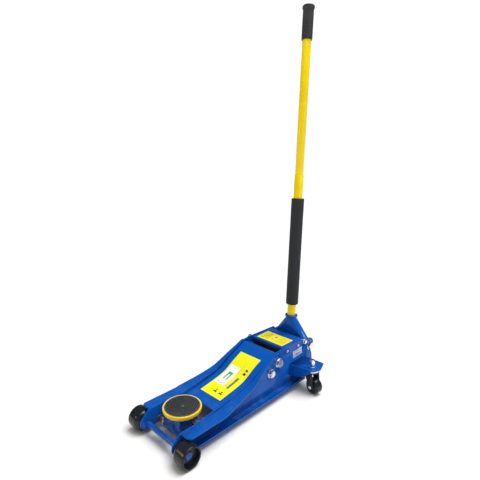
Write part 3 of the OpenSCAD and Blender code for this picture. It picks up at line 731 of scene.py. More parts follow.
def ring_tree() -> Tree:
    """Makes the tree that stacks soft rings up Z, as on a moulded grip."""
    tree = Tree("stacked_rings", {"Count": "Int", "Start": "Float", "Pitch": "Float", "Radius": "Float",
                                  "Thick": "Float", "Material": "Material"})
    graph, source = tree.graph, tree.source
    start = graph.add("ShaderNodeCombineXYZ", {"Z": source["Start"]})
    step = graph.add("ShaderNodeCombineXYZ", {"Z": source["Pitch"]})
    line = graph.add("GeometryNodeMeshLine", {"Count": source["Count"], "Start Location": start.outputs[0],
                                              "Offset": step.outputs[0]}, mode="OFFSET")
    path = graph.add("GeometryNodeCurvePrimitiveCircle", {"Resolution": 48, "Radius": source["Radius"]})
    section = graph.add("GeometryNodeCurvePrimitiveCircle", {"Resolution": 8, "Radius": source["Thick"]})
    ring = graph.add("GeometryNodeCurveToMesh",
                     {"Curve": path.outputs[0], "Profile Curve": section.outputs[0]})
    rings = graph.add("GeometryNodeInstanceOnPoints",
                      {"Points": line.outputs[0], "Instance": ring.outputs[0]})
    whole = graph.add("GeometryNodeJoinGeometry")
    graph.tree.links.new(rings.outputs[0], whole.inputs[0])
    graph.tree.links.new(source["Geometry"], whole.inputs[0])
    tree.end(whole.outputs[0])
    return tree


THREAD_PITCH = 1.25   # millimetres
HEX_STEPS = 48        # corners round a chamfered hexagon, a multiple of six


@dataclass(frozen=True)
class Fastener:
    """A hexagon bolt or nut with its washer and shank, seated at Z = 0 and facing up. Millimetres.

    Attributes:
        hex_r: the hexagon's radius over its corners.
        hex_h: its height.
        washer_r: the washer's radius.
        washer_t: the washer's thickness.
        shank_r: the shank's radius.
        below: how far the shank goes below the seat.
        above: how far the shank stands out of the hexagon, as a stud does out of a nut.
        dish: how deep the top is dished.
    """

    hex_r: float
    hex_h: float
    washer_r: float
    washer_t: float
    shank_r: float
    below: float
    above: float = 0.0
    dish: float = 0.35

    def mesh(self) -> bmesh.types.BMesh:
        """Makes the washer, the chamfered hexagon and the shank as closed shells, in metres."""
        work = bmesh.new()
        self._washer(work)
        self._hexagon(work)
        self._shank(work)
        bmesh.ops.recalc_face_normals(work, faces=work.faces)
        bmesh.ops.scale(work, vec=(MM, MM, MM), verts=work.verts)
        return work

    def _washer(self, work: bmesh.types.BMesh) -> None:
        """Adds the washer, with soft edges."""
        edge = min(0.5, self.washer_t / 3)
        profile = [(self.shank_r + 0.1, 0.0), (self.washer_r - edge, 0.0), (self.washer_r, edge),
                   (self.washer_r, self.washer_t - edge), (self.washer_r - edge, self.washer_t),
                   (self.shank_r + 0.1, self.washer_t)]
        self.add(work, lathe(profile, 40))

    def _shank(self, work: bmesh.types.BMesh) -> None:
        """Adds the shank, with the threads that stand out of a nut."""
        top = self.washer_t + self.hex_h + self.above
        profile = [(0.0, -self.below), (self.shank_r - 0.8, -self.below), (self.shank_r, 0.8 - self.below)]
        turns = int(self.above / THREAD_PITCH)
        for i in range(turns):
            base = top - self.above + THREAD_PITCH * i
            profile += [(self.shank_r, base), (self.shank_r, base + 0.3), (self.shank_r - 0.6, base + 0.8)]
        inset = 0.8 if self.above else 0.0
        profile += [(self.shank_r, top - inset - 0.4 * bool(turns)), (self.shank_r - inset, top - 0.2),
                    (0.0, top - 0.2)]
        if not self.above:
            profile = profile[:3] + [(self.shank_r, self.washer_t / 2), (0.0, self.washer_t / 2)]
        self.add(work, lathe(profile, 24))

    def _hexagon(self, work: bmesh.types.BMesh) -> None:
        """Adds the hexagon, with its corners cut by a cone at the top."""
        flat = self.hex_r * math.cos(math.radians(30))
        crown_r = flat * 0.94
        foot, top = self.washer_t, self.washer_t + self.hex_h
        rings: list[list[bmesh.types.BMVert]] = [[], [], [], [], []]
        for k in range(HEX_STEPS):
            angle = 2 * math.pi * k / HEX_STEPS
            from_flat = (angle + math.radians(30)) % math.radians(60) - math.radians(30)
            edge_r = flat / math.cos(from_flat)
            drop = (edge_r - crown_r) * math.tan(math.radians(32))
            spots = ((edge_r - 0.3, foot), (edge_r, foot + 0.4), (edge_r, top - drop), (crown_r, top),
                     (crown_r * 0.72, top - self.dish))
            for ring, (radius, height) in zip(rings, spots):
                ring.append(work.verts.new((radius * math.cos(angle), radius * math.sin(angle), height)))
        for lower, upper in zip(rings, rings[1:]):
            for k in range(HEX_STEPS):
                after = (k + 1) % HEX_STEPS
                work.faces.new((lower[k], lower[after], upper[after], upper[k]))
        work.faces.new(rings[0][::-1])
        work.faces.new(rings[-1])

    @staticmethod
    def add(work: bmesh.types.BMesh, part: bmesh.types.BMesh) -> None:
        """Adds another mesh to this one."""
        mesh = bpy.data.meshes.new("part")
        part.to_mesh(mesh)
        part.free()
        work.from_mesh(mesh)
        bpy.data.meshes.remove(mesh)


def points_mesh(name: str, points: list[tuple[Vector, Vector, float]]) -> bpy.types.Mesh:
    """Makes a mesh of loose points that carry the way they face and their spin.

    Args:
        name: the mesh's name.
        points: each point's place, facing and spin in radians.

    Returns:
        The mesh.
    """
    mesh = bpy.data.meshes.new(name)
    mesh.from_pydata([tuple(place) for place, _, _ in points], [], [])
    for label, kind in (("facing", "FLOAT_VECTOR"), ("spin", "FLOAT")):
        mesh.attributes.new(label, kind, "POINT")
    for i, (_, way, angle) in enumerate(points):
        mesh.attributes["facing"].data[i].vector = way
        mesh.attributes["spin"].data[i].value = angle
    return mesh


@dataclass
class Workshop:
    """What every sub-assembly is built with.

    Attributes:
        stores: the finishes.
        placing: the tree that places fasteners.
        ridges: the tree that ribs the pad.
        rings: the tree that rings the grip.
    """

    stores: Stores = field(default_factory=Stores)
    placing: Tree = field(default_factory=placing_tree)
    ridges: Tree = field(default_factory=ridge_tree)
    rings: Tree = field(default_factory=ring_tree)

    def rounded(self, node: str, stock: Stock, slot: Slot, bends: list[Bend],
                crisp: float = 32) -> bpy.types.Object:
        """Copies a node, rounds its edges and dresses it.

        Args:
            node: the CAD node.
            stock: its finish.
            slot: its material slot; not used.
            bends: the passes of rounding.
            crisp: edges sharper than this, in degrees, stay crisp.

        Returns:
            The piece.
        """
        work = node_copy(node)
        bend_edges(work, bends)
        piece = finished(work, node + "_finished", crisp)
        settle(piece, [node], self.stores.get(stock))
        return piece

    def fasteners(self, node: str, part: bmesh.types.BMesh, points: list[tuple[Vector, Vector, float]],
                  stock: Stock = Stock.ZINC, slot: Slot = Slot.ZINC) -> bpy.types.Object:
        """Places one part at several points and dresses it.

        Args:
            node: the CAD node that the parts stand for.
            part: the part's mesh, which is freed.
            points: each point's place, facing and spin.
            stock: the finish.
            slot: the material slot; not used.

        Returns:
            The piece.
        """
        single = finished(part, node + "_single", 34)
        base = points_mesh(node + "_points", points)
        piece = self.placing.run(base, node + "_set", {"Part": single, "Material": self.stores.get(stock)})
        bpy.data.objects.remove(single)
        settle(piece, [node], self.stores.get(stock))
        return piece

    def both_sides(self, node: str, part: bmesh.types.BMesh, spots: list[Vector], seat: float,
                   first_spin: float = 0.3) -> bpy.types.Object:
        """Places a part at each spot on both side plates, facing outwards, each turned differently."""
        points = []
        for i, spot in enumerate(spots):
            for side in Side:
                place = Vector((side.value * seat, spot.y, spot.z))
                points.append((place, Vector((side.value, 0, 0)), first_spin + 1.7 * i + 0.9 * side.value))
        return self.fasteners(node, part, points)


# ---- Sub-assemblies ----



@dataclass
class Chassis:
    """The pressed side plates and what holds them together.

    Attributes:
        shop: what it is built with.
        fold: how far the folds between web and flanges reach, in millimetres.
        lip: how far the flanges' outer edges are rolled over, in millimetres.
    """

    shop: Workshop
    fold: float = 6.5
    lip: float = 3.2

    def build(self) -> None:
        """Builds the plates, the axle, the cover and their fasteners."""
        self._plates()
        self._crossings()
        self._bolts()

    def _plates(self) -> None:
        """Rounds the folds and the rolled edges of the two side plates."""
        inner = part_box("side_plate_right")[0].x
        near_web = (inner - 0.0005, inner + 0.0005)
        inside_web = (inner + 0.0035, inner + 0.0045)
        beyond_web = (inner + 0.006, 1.0)
        anywhere = (-1.0, 2.0)
        shoulder = (middle("front_axle").y + 0.008, middle("arm_pivot_shaft").y - 0.014)
        foot = (0.021, 0.023)
        for side in Side:
            node = "side_plate_" + side.name.lower()
            self.shop.rounded(node, Stock.BLUE, Slot.BLUE, [
                Bend(self.fold, 5, 60, True, (near_web, shoulder, (0.08, 0.19)), 0.35),
                Bend(self.fold, 5, 60, True, (near_web, anywhere, foot), 0.2),
                Bend(self.fold - 3.0, 4, 60, False, (inside_web, anywhere, (0.02, 0.185)), 0.0),
                Bend(self.lip, 4, 60, True, (beyond_web, anywhere, (0.082, 0.19)), 0.7),
                Bend(self.lip, 4, 60, True, (beyond_web, anywhere, foot), 0.4),
                Bend(0.9, 3, 40, True)])

    def _crossings(self) -> None:
        """Rounds the axle, the caps, the cover and the tubes that cross between the plates."""
        shop = self.shop
        cover_edge = ((0.0, 1.0), (-1.0, 2.0), (0.181, 0.19))
        shop.rounded("front_axle", Stock.BLUE, Slot.BLUE, [Bend(1.0, 3)])
        shop.rounded("axle_caps", Stock.BLUE, Slot.BLUE, [Bend(1.6, 4)])
        shop.rounded("rear_cover", Stock.BLUE, Slot.BLUE,
                     [Bend(2.6, 4, 60, True, cover_edge, 0.6), Bend(0.5, 2)])
        shop.rounded("spreader_tube", Stock.STEEL, Slot.STEEL, [Bend(0.8, 2)])
        shop.rounded("arm_pivot_shaft", Stock.STEEL, Slot.STEEL, [Bend(1.0, 2)])

    def _bolts(self) -> None:
        """Sets the bolts and screws that hold the plates."""
        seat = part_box("arm_pivot_shaft")[1].x
        shop = self.shop
        arm_bolt = Fastener(hex_r=16, hex_h=10, washer_r=19, washer_t=2.5, shank_r=8, below=0.2)
        link_bolt = Fastener(hex_r=15.5, hex_h=10, washer_r=18, washer_t=2.5, shank_r=8, below=11)
        handle_bolt = Fastener(hex_r=17, hex_h=11, washer_r=19, washer_t=3, shank_r=10, below=13)
        stop_bolt = Fastener(hex_r=9, hex_h=7, washer_r=10, washer_t=2, shank_r=6, below=seat / MM)
        block_bolt = Fastener(hex_r=8.5, hex_h=6, washer_r=9.5, washer_t=1.5, shank_r=5, below=18)
        shop.both_sides("arm_pivot_bolts", arm_bolt.mesh(), [middle("arm_pivot_shaft")], seat)
        shop.both_sides("link_pivot_bolts", link_bolt.mesh(), [middle("link_pivot_bolts")], seat, 0.9)
        shop.both_sides("handle_pivot_bolts", handle_bolt.mesh(), [middle("handle_pivot_bolts")], seat, 0.1)
        shop.both_sides("stop_rod", stop_bolt.mesh(), [middle("stop_rod")], seat, 0.5)
        shop.both_sides("pump_block_bolts", block_bolt.mesh(), self._block_spots(), seat)
        shop.both_sides("cover_screws", self._screw(), [middle("spreader_tube"), self._side_screw()], seat)

    @staticmethod
    def _block_spots() -> list[Vector]:
        """Finds the two bolts on each side of the pump block."""
        low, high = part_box("pump_block_bolts")
        inset = (high.z - low.z) / 2
        return [Vector((0, y, (low.z + high.z) / 2)) for y in (low.y + inset, high.y - inset)]

    @staticmethod
    def _side_screw() -> Vector:
        """Finds the rear one of the cover's two side screws."""
        _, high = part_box("cover_screws")
        head = 0.006
        return Vector((0, high.y - head, high.z - head))

    @staticmethod
    def _screw() -> bmesh.types.BMesh:
        """Makes a domed screw with a round recess, seated at Z = 0."""
        dome = [(r * MM, h * MM) for r, h in ((0, -12), (2.5, -12), (2.5, 0), (5.7, 0), (6, 0.5), (6, 1.2))]
        dome += [(r * MM, h * MM) for r, h in fillet((3.6, 1.2), 2.4, 0, 78, 5)]
        dome += [(0.0029, 0.0035), (0.0026, 0.0018), (0, 0.0018)]
        return lathe(dome, 24)


@dataclass
class FrontRollers:
    """The two front rollers.

    Attributes:
        shop: what they are built with.
    """

    shop: Workshop

    def build(self) -> None:
        """Rounds the rollers' rims."""
        for side in Side:
            self.shop.rounded("front_wheel_" + side.name.lower(), Stock.NYLON, Slot.WHEEL,
                              [Bend(0.7, 2, 40)], 40)


@dataclass
class LiftGear:
    """The lift arm with its shafts, and the rods that keep the saddle level.

    Attributes:
        shop: what it is built with.
    """

    shop: Workshop

    def build(self) -> None:
        """Builds the arm, its shafts and the link rods."""
        shop = self.shop
        arm_fold = ((0.074, 0.082), (-1.0, 1.0), (0.05, 0.19))
        shop.rounded("lift_arm", Stock.BLUE, Slot.BLUE,
                     [Bend(2.4, 4, 60, True, arm_fold, 0.6), Bend(0.6, 2, 40, True)])
        for node, stock, slot in (("arm_pivot_tube", Stock.STEEL, Slot.STEEL),
                                  ("arm_bushes", Stock.GOLD, Slot.GOLD),
                                  ("crank_pin", Stock.ZINC, Slot.ZINC),
                                  ("crank_roller", Stock.STEEL, Slot.STEEL),
                                  ("yoke_pin", Stock.ZINC, Slot.ZINC),
                                  ("link_pin", Stock.ZINC, Slot.ZINC),
                                  ("link_spacers", Stock.GOLD, Slot.GOLD)):
            shop.rounded(node, stock, slot, [Bend(0.7, 2, 50)])
        for side in Side:
            shop.rounded("link_rod_" + side.name.lower(), Stock.BLUE, Slot.BLUE, [Bend(0.8, 3, 50)])


@dataclass
class SaddleHead:
    """The yoke, and the saddle that turns in it.

    Attributes:
        shop: what it is built with.
        ridge: the ridges' pitch, width and height, in millimetres.
        turn: how far the pad's pattern is turned, in degrees.
    """

    shop: Workshop
    ridge: tuple[float, float, float] = (7.4, 2.5, 1.9)
    turn: float = 33.0

    def build(self) -> None:
        """Builds the yoke, the cup, the ribbed pad and its screw."""
        shop = self.shop
        shop.rounded("saddle_yoke", Stock.BLUE, Slot.BLUE, [Bend(2.2, 3, 50)])
        shop.rounded("saddle_cup", Stock.CUP_YELLOW, Slot.YELLOW, [Bend(0.6, 2, 35)], 40)
        shop.rounded("pad_screw", Stock.ZINC, Slot.ZINC, [Bend(0.8, 3, 50)])
        self._pad()

    def _pad(self) -> None:
        """Makes the pad: a disc with a rim, crossed ridges and a clear round its screw."""
        low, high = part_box("saddle_pad")
        centre = (low + high) / 2
        outer = (high.x - low.x) / 2
        pitch, width, height = (value * MM for value in self.ridge)
        floor = high.z - height
        hub = 0.0088
        profile = [(0.0031, low.z), (outer - 0.001, low.z), (outer, low.z + 0.001)]
        profile += fillet((outer - 0.0012, high.z - 0.0012), 0.0012, 0, 90, 4)
        profile += [(outer - 0.0032, high.z), (outer - 0.0038, floor), (hub + 0.0006, floor), (hub, high.z),
                    (hub - 0.0012, high.z), (hub - 0.002, high.z - 0.003), (0.0031, high.z - 0.003)]
        work = lathe(profile, 96)
        bmesh.ops.translate(work, verts=work.verts, vec=(0, 0, -floor - height / 2))
        base = finished(work, "pad_disc", 40)
        # painted shade, near black, in the pad's hollows from the ridges' foot up to their tops
        material = replace(Stock.PAD.value, painted_hollow_shade=(floor, high.z)).build()
        piece = self.shop.ridges.run(base.data, "ribbed_pad", {
            "Radius": outer - 0.0028, "Pitch": pitch, "Width": width, "Height": height,
            "Turn": math.radians(self.turn), "Material": material})
        bpy.data.objects.remove(base)
        piece.data.transform(Matrix.Translation((centre.x, centre.y, floor + height / 2)))
        settle(piece, ["saddle_pad"], material)


@dataclass
class PumpUnit:
    """The hydraulic unit between the side plates.

    Attributes:
        shop: what it is built with.
    """

    shop: Workshop

    def build(self) -> None:
        """Rounds and dresses each part, and dresses the springs that work as they are."""
        parts = (("pump_block", Stock.STEEL, Slot.STEEL, 1.4),
                 ("power_cylinder", Stock.STEEL, Slot.STEEL, 0.8),
                 ("reservoir_shell", Stock.STEEL, Slot.STEEL, 0.6),
                 ("gland_cap", Stock.STEEL, Slot.STEEL, 1.5),
                 ("filler_plug", Stock.BLACK, Slot.BLACK, 1.2), ("ram", Stock.CHROME, Slot.CHROME, 1.0),
                 ("ram_head", Stock.STEEL, Slot.STEEL, 1.6),
                 ("pump_plungers", Stock.CHROME, Slot.CHROME, 0.7),
                 ("release_valve", Stock.ZINC, Slot.ZINC, 0.6))
        for node, stock, slot, width in parts:
            self.shop.rounded(node, stock, slot, [Bend(width, 3, 40)])
        for node in ("pump_springs", "return_springs"):
            spring = frame["nodes"][node]
            spring.data.materials.clear()
            stock = Stock.ZINC if node == "pump_springs" else Stock.STEEL
            spring.data.materials.append(self.shop.stores.get(stock))


@dataclass
class Handle:
    """The socket that the handle stands in, and the handle.

    Attributes:
        shop: what it is built with.
        axis: the handle's line.
        flare: how far the hood's corners are rounded, in millimetres.
        ripple: how uneven the foam's surface is, in millimetres.
    """

    shop: Workshop
    axis: HandleAxis = field(default_factory=HandleAxis.from_frame)
    flare: float = 3.0
    ripple: float = 0.35

    def build(self) -> None:
        """Builds the socket, the tubes, the sleeve and the grip."""
        shop = self.shop
        shop.rounded("handle_socket", Stock.BLUE, Slot.BLUE, [Bend(self.flare, 4, 50, True, None, 0.5)], 36)
        shop.rounded("roller_pin", Stock.ZINC, Slot.ZINC, [Bend(0.7, 2)])
        shop.rounded("pump_rollers", Stock.STEEL, Slot.STEEL, [Bend(0.7, 2)])
        shop.rounded("release_coupling", Stock.STEEL, Slot.STEEL, [Bend(0.7, 2)])
        shop.rounded("handle_lower_tube", Stock.TUBE_YELLOW, Slot.YELLOW, [Bend(0.5, 2)])
        shop.rounded("handle_upper_tube", Stock.TUBE_YELLOW, Slot.YELLOW, [Bend(0.5, 2)])
        self._sleeve()
        self._grip()

    def _span(self, node: str) -> tuple[float, float]:
        """Finds how far up the handle's line a round node starts and ends."""
        spots = [self.axis.height(v.co) for v in frame["nodes"][node].data.vertices]
        return min(spots), max(spots)

    def _radius(self, node: str) -> float:
        """Finds a round node's greatest radius about the handle's line."""
        low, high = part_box(node)
        return (high.x - low.x) / 2

    def _place(self, piece: bpy.types.Object) -> None:
        """Leans a piece drawn up Z onto the handle's line."""
        piece.data.transform(self.axis.matrix())

    def _sleeve(self) -> None:
        """Makes the foam sleeve, with soft ends and a slightly uneven wall."""
        start, end = self._span("foam_sleeve")
        outer, inner = self._radius("foam_sleeve"), self._radius("handle_lower_tube")
        soft = 0.0045
        rows = 90
        outer -= self.ripple * MM
        wall = [start + soft + (end - start - 2 * soft) * i / rows for i in range(rows + 1)]
        profile = [(inner + 0.0001, start + 0.001), (inner + 0.0011, start)]
        profile += fillet((outer - soft, start + soft), soft, -90, 0, 5)[:-1]
        profile += [(outer, z) for z in wall]
        profile += fillet((outer - soft, end - soft), soft, 0, 90, 5)[1:]
        profile += [(inner + 0.0011, end), (inner + 0.0001, end - 0.001)]
        work = lathe(profile, 56)
        for vert in work.verts:
            flat = Vector((vert.co.x, vert.co.y, 0))
            if flat.length > inner + 0.002:
                broad = noise.noise(vert.co * 22.0) * 0.7 + noise.noise(vert.co * 90.0) * 0.3
                vert.co += flat.normalized() * broad * self.ripple * MM
        piece = finished(work, "foam_sleeve_soft", 60)
        self._place(piece)
        settle(piece, ["foam_sleeve"], self.shop.stores.get(Stock.FOAM))

    def _grip(self) -> None:
        """Makes the rubber grip: a ringed sleeve with a domed, flared end."""
        start, end = self._span("handle_grip")
        flare, inner = self._radius("handle_grip"), self._radius("handle_upper_tube")
        body = flare - 0.0028
        profile = [(inner + 0.0001, start + 0.0006), (inner + 0.0008, start), (body - 0.0012, start)]
        profile += fillet((body - 0.0012, start + 0.0012), 0.0012, -90, 0, 3)[1:]
        profile += [(body, end - 0.016), (flare - 0.0006, end - 0.0115), (flare, end - 0.0095)]
        profile += fillet((flare - 0.005, end - 0.005), 0.005, 0, 90, 8)
        profile += [(0.0, end), (0.0, end - 0.0139), (inner + 0.0001, end - 0.0139)]
        base = finished(lathe(profile, 48), "grip_body", 40)
        material = self.shop.stores.get(Stock.GRIP)
        pitch = 0.0045
        piece = self.shop.rings.run(base.data, "ringed_grip", {
            "Count": int((end - start - 0.032) / pitch), "Start": start + 0.009, "Pitch": pitch,
            "Radius": body - 0.0004, "Thick": 0.0008, "Material": material})
        bpy.data.objects.remove(base)
        self._place(piece)
        settle(piece, ["handle_grip"], material)


@dataclass
class Caster:
    """One rear swivel caster and the bracket that it hangs from.

    Attributes:
        shop: what it is built with.
        side: which side it is on.
    """

    shop: Workshop
    side: Side

    def build(self) -> None:
        """Rounds and dresses the bracket, the fork, the axle and the wheel."""
        end = "_" + self.side.name.lower()
        shop = self.shop
        shop.rounded("caster_bracket" + end, Stock.BLUE, Slot.BLUE,
                     [Bend(2.2, 4, 50, True), Bend(1.8, 2, 50, False)])
        shop.rounded("caster_fork" + end, Stock.BLACK, Slot.BLACK, [Bend(1.2, 3, 50, True)])
        shop.rounded("caster_axle" + end, Stock.ZINC, Slot.ZINC, [Bend(0.8, 3)])
        shop.rounded("caster_wheel" + end, Stock.NYLON, Slot.WHEEL, [Bend(0.6, 2, 40)], 40)


@dataclass
class CasterBolts:
    """The kingpins, nuts and swivel bearings of both casters.

    Attributes:
        shop: what they are built with.
    """

    shop: Workshop

    def build(self) -> None:
        """Sets the nuts on their studs and rounds the bearings."""
        low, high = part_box("caster_bolts")
        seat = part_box("caster_bracket_right")[1].z
        washer_r, washer_t, nut_h = 13.5, 3, 22
        pin_x = high.x - washer_r * MM
        nut = Fastener(hex_r=12.6, hex_h=nut_h, washer_r=washer_r, washer_t=washer_t, shank_r=8,
                       below=(seat - low.z) / MM, above=(high.z - seat) / MM - nut_h - washer_t)
        part = nut.mesh()
        foot = low.z - seat
        head = lathe([(0, foot), (0.0122, foot), (0.013, foot + 0.001), (0.013, foot + 0.0066),
                      (0.0122, foot + 0.0076), (0, foot + 0.0076)], 32)
        Fastener.add(part, head)
        spin, up, pin_y = 0.45, Vector((0, 0, 1)), (low.y + high.y) / 2
        points = [(Vector((side.value * pin_x, pin_y, seat)), up, spin * side.value) for side in Side]
        self.shop.fasteners("caster_bolts", part, points)
        self.shop.rounded("caster_bearings", Stock.ZINC, Slot.ZINC, [Bend(1.2, 3)])


# ---- Labels ----


def bar_group() -> bpy.types.NodeTree:
    """Makes the group that prints one plain bar on a label, by the label's own UV map."""
    tree, graph = new_group("print_bar", {"Left": 0.1, "Right": 0.9, "Low": 0.1, "High": 0.2}, ["Mask"])
    source = tree.nodes["in"].outputs
    place = graph.add("ShaderNodeSeparateXYZ", {0: graph.add("ShaderNodeTexCoord").outputs["UV"]})
    u, v = place.outputs["X"], place.outputs["Y"]
    sides = [graph.math("GREATER_THAN", u, source["Left"]), graph.math("LESS_THAN", u, source["Right"]),
             graph.math("GREATER_THAN", v, source["Low"]), graph.math("LESS_THAN", v, source["High"])]
    inside = graph.math("MULTIPLY", graph.math("MULTIPLY", sides[0], sides[1]),
                        graph.math("MULTIPLY", sides[2], sides[3]))
    return close_group(tree, {"Mask": inside})


def rows_group() -> bpy.types.NodeTree:
    """Makes the group that breaks an area into rows of plain dashes."""
    tree, graph = new_group("print_rows", {"Rows": 20.0, "Dashes": 40.0, "Fill": 0.5, "Turned": 0.0},
                            ["Mask"])
    source = tree.nodes["in"].outputs
    place = graph.add("ShaderNodeSeparateXYZ", {0: graph.add("ShaderNodeTexCoord").outputs["UV"]})
    u, v = place.outputs["X"], place.outputs["Y"]
    swap = graph.math("SUBTRACT", v, u)
    line = graph.math("ADD", v, graph.math("MULTIPLY", graph.math("MULTIPLY", swap, source["Turned"]), -1.0))
    along = graph.math("ADD", u, graph.math("MULTIPLY", swap, source["Turned"]))
    row = graph.math("MULTIPLY", line, source["Rows"])
    dash = graph.math("MULTIPLY", along, source["Dashes"])
    inked = graph.math("LESS_THAN", graph.math("FRACT", row), source["Fill"])
    cell = graph.add("ShaderNodeCombineXYZ", {"X": graph.math("FLOOR", row), "Y": graph.math("FLOOR", dash)})
    gaps = graph.add("ShaderNodeTexWhiteNoise", {"Vector": cell.outputs[0]}, noise_dimensions="2D")
    kept = graph.math("GREATER_THAN", gaps.outputs["Value"], 0.22)
    return close_group(tree, {"Mask": graph.math("MULTIPLY", inked, kept)})


@dataclass(frozen=True)
class Print:
    """One printed patch of a label.

    Attributes:
        box: its left, right, low and high edges on the label, from 0 to 1.
        colour: its ink.
        rows: how many rows of dashes the whole label would hold, or 0 for a solid patch.
        dashes: how many dashes a whole row would hold.
        turned: True where the rows run along the label.
    """

    box: tuple[float, float, float, float]
    colour: tuple[float, float, float]
    rows: float = 0.0
    dashes: float = 40.0
    turned: bool = False


@dataclass(frozen=True)
class LabelFinish:
    """A printed, laminated label.

    Attributes:
        name: the material's name.
        ground: the colour that it is printed on.
        aged: the colour that the ground drifts to.
        prints: the patches, from the lowest layer up.
    """

    name: str
    ground: tuple[float, float, float]
    aged: tuple[float, float, float]
    prints: tuple[Print, ...]

    def build(self) -> bpy.types.Material:
        """Makes the material."""
        material = bpy.data.materials.new(self.name)
        material.use_nodes = True
        graph = Graph(material.node_tree)
        shader = material.node_tree.nodes["Principled BSDF"]
        mottle = graph.add("ShaderNodeGroup", node_tree=GROUPS["mottle"]).outputs["Value"]
        colour = graph.mix(mottle, rgba(self.ground), rgba(self.aged))
        for patch in self.prints:
            mask = self._bar(graph, patch)
            if patch.rows:
                rows = graph.add("ShaderNodeGroup", node_tree=GROUPS["rows"])
                for label, value in (("Rows", patch.rows), ("Dashes", patch.dashes),
                                     ("Turned", float(patch.turned))):
                    rows.inputs[label].default_value = value
                mask = graph.math("MULTIPLY", mask, rows.outputs["Mask"])
            colour = graph.mix(mask, colour, rgba(patch.colour))
        height = graph.add("ShaderNodeGroup", node_tree=GROUPS[Relief.ORANGE_PEEL.value]).outputs["Height"]
        bump = graph.add("ShaderNodeBump", {"Strength": 1.0, "Distance": 0.03 * MM, "Height": height})
        rough = graph.spread(mottle, 0.0, 1.0, 0.28, 0.4)
        for name, socket in (("Base Color", colour), ("Roughness", rough), ("Normal", bump.outputs[0])):
            graph.tree.links.new(socket, shader.inputs[name])
        shader.inputs["Coat Weight"].default_value = 0.3
        shader.inputs["Coat Roughness"].default_value = 0.12
        return material

    @staticmethod
    def _bar(graph: Graph, patch: Print) -> bpy.types.NodeSocket:
        """Places the group that masks one patch."""
        node = graph.add("ShaderNodeGroup", node_tree=GROUPS["bar"])
        for label, value in zip(("Left", "Right", "Low", "High"), patch.box):
            node.inputs[label].default_value = value
        return node.outputs["Mask"]


GROUPS["bar"] = bar_group()
GROUPS["rows"] = rows_group()

INK = (0.012, 0.012, 0.014)
GREY = (0.2, 0.2, 0.19)
WHITE = (0.86, 0.87, 0.85)
GREEN = (0.07, 0.42, 0.1)
BROWN = (0.34, 0.2, 0.02)
ORANGE = (0.8, 0.2, 0.03)
YELLOW = (0.86, 0.83, 0.004)
AGED_YELLOW = (0.84, 0.77, 0.004)

ARM_LABEL = LabelFinish("arm_label_print", YELLOW, AGED_YELLOW, (
    Print((0.06, 0.53, 0.29, 0.72), WHITE),
    Print((0.2, 0.4, 0.42, 0.6), GREEN),
    Print((0.26, 0.34, 0.42, 0.55), WHITE),
    Print((0.12, 0.5, 0.31, 0.35), GREY, 60, 24, False),
    Print((0.69, 0.79, 0.27, 0.56), GREY),
    Print((0.7, 0.78, 0.28, 0.55), INK, 60, 26, False),
    Print((0.595, 0.61, 0.24, 0.9), GREY, 60, 60, True),
    Print((0.77, 0.88, 0.64, 0.68), INK),
    Print((0.77, 0.88, 0.71, 0.74), INK),
    Print((0.42, 0.56, 0.1, 0.125), INK),
    Print((0.47, 0.51, 0.125, 0.18), INK),
    Print((0.68, 0.82, 0.1, 0.13), INK),
    Print((0.72, 0.78, 0.14, 0.17), INK)))

COVER_LABEL = LabelFinish("cover_label_print", YELLOW, AGED_YELLOW, (
    Print((0.06, 0.34, 0.14, 0.86), BROWN, 11, 46),
    Print((0.44, 0.56, 0.25, 0.75), (0.9, 0.7, 0.3)),
    Print((0.46, 0.54, 0.55, 0.75), ORANGE),
    Print((0.46, 0.5, 0.25, 0.42), ORANGE),
    Print((0.64, 0.95, 0.14, 0.86), (0.62, 0.42, 0.01), 11, 46)))

SIDE_LABEL = LabelFinish("side_label_print", (0.62, 0.62, 0.8), (0.55, 0.55, 0.74), (
    Print((0.12, 0.9, 0.62, 0.9), (0.24, 0.24, 0.3), 14, 30),
    Print((0.3, 0.86, 0.3, 0.42), INK),
    Print((0.14, 0.86, 0.1, 0.22), (0.3, 0.3, 0.36), 14, 30)))


@dataclass
class Labels:
    """The stuck labels, with plain bars and dashes in place of words.

    Attributes:
        shop: what they are built with.
    """

    shop: Workshop

    def build(self) -> None:
        """Maps and dresses the three labels."""
        self._dress(self._mapped("arm_label", "arm_label_sheet", None), ARM_LABEL, "arm_label")
        top, side = "cover_label_sheet", "side_label_sheet"
        self._dress(self._mapped("frame_labels", top, True), COVER_LABEL, "frame_labels")
        self._dress(self._mapped("frame_labels", side, False), SIDE_LABEL, "frame_labels")

    @staticmethod
    def _mapped(node: str, name: str, flat: bool | None) -> bpy.types.Object:
        """Copies a label with a UV map that runs from its near left corner to its far right one.

        Args:
            node: the CAD node.
            name: the piece's name.
            flat: True for the node's flat solid, False for its upright one, None for the whole node.

        Returns:
            The piece.
        """
        work = node_copy(node)
        if flat is not None:
            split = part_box("rear_cover")[0].z + 0.02
            gone = [v for v in work.verts if (v.co.z < split) == flat]
            bmesh.ops.delete(work, geom=gone, context="VERTS")
        axes = (0, 1) if flat is not False else (1, 2)
        spans = [[v.co[axis] for v in work.verts] for axis in axes]
        layer = work.loops.layers.uv.new("UVMap")
        for face in work.faces:
            for loop in face.loops:
                loop[layer].uv = [(loop.vert.co[axis] - min(span)) / (max(span) - min(span))
                                  for axis, span in zip(axes, spans)]
        return finished(work, name, 30)

    @staticmethod
    def _dress(piece: bpy.types.Object, finish: LabelFinish, node: str) -> None:
        """Gives a label its print and its body."""
        settle(piece, [node], finish.build())


# ---- Studio ----


def aimed(place: tuple[float, float, float], way: Vector) -> Matrix:
    """Gives the matrix of a lamp or camera that stands at a place and looks along a direction."""
    return Matrix.Translation(place) @ way.to_track_quat("-Z", "Y").to_matrix().to_4x4()


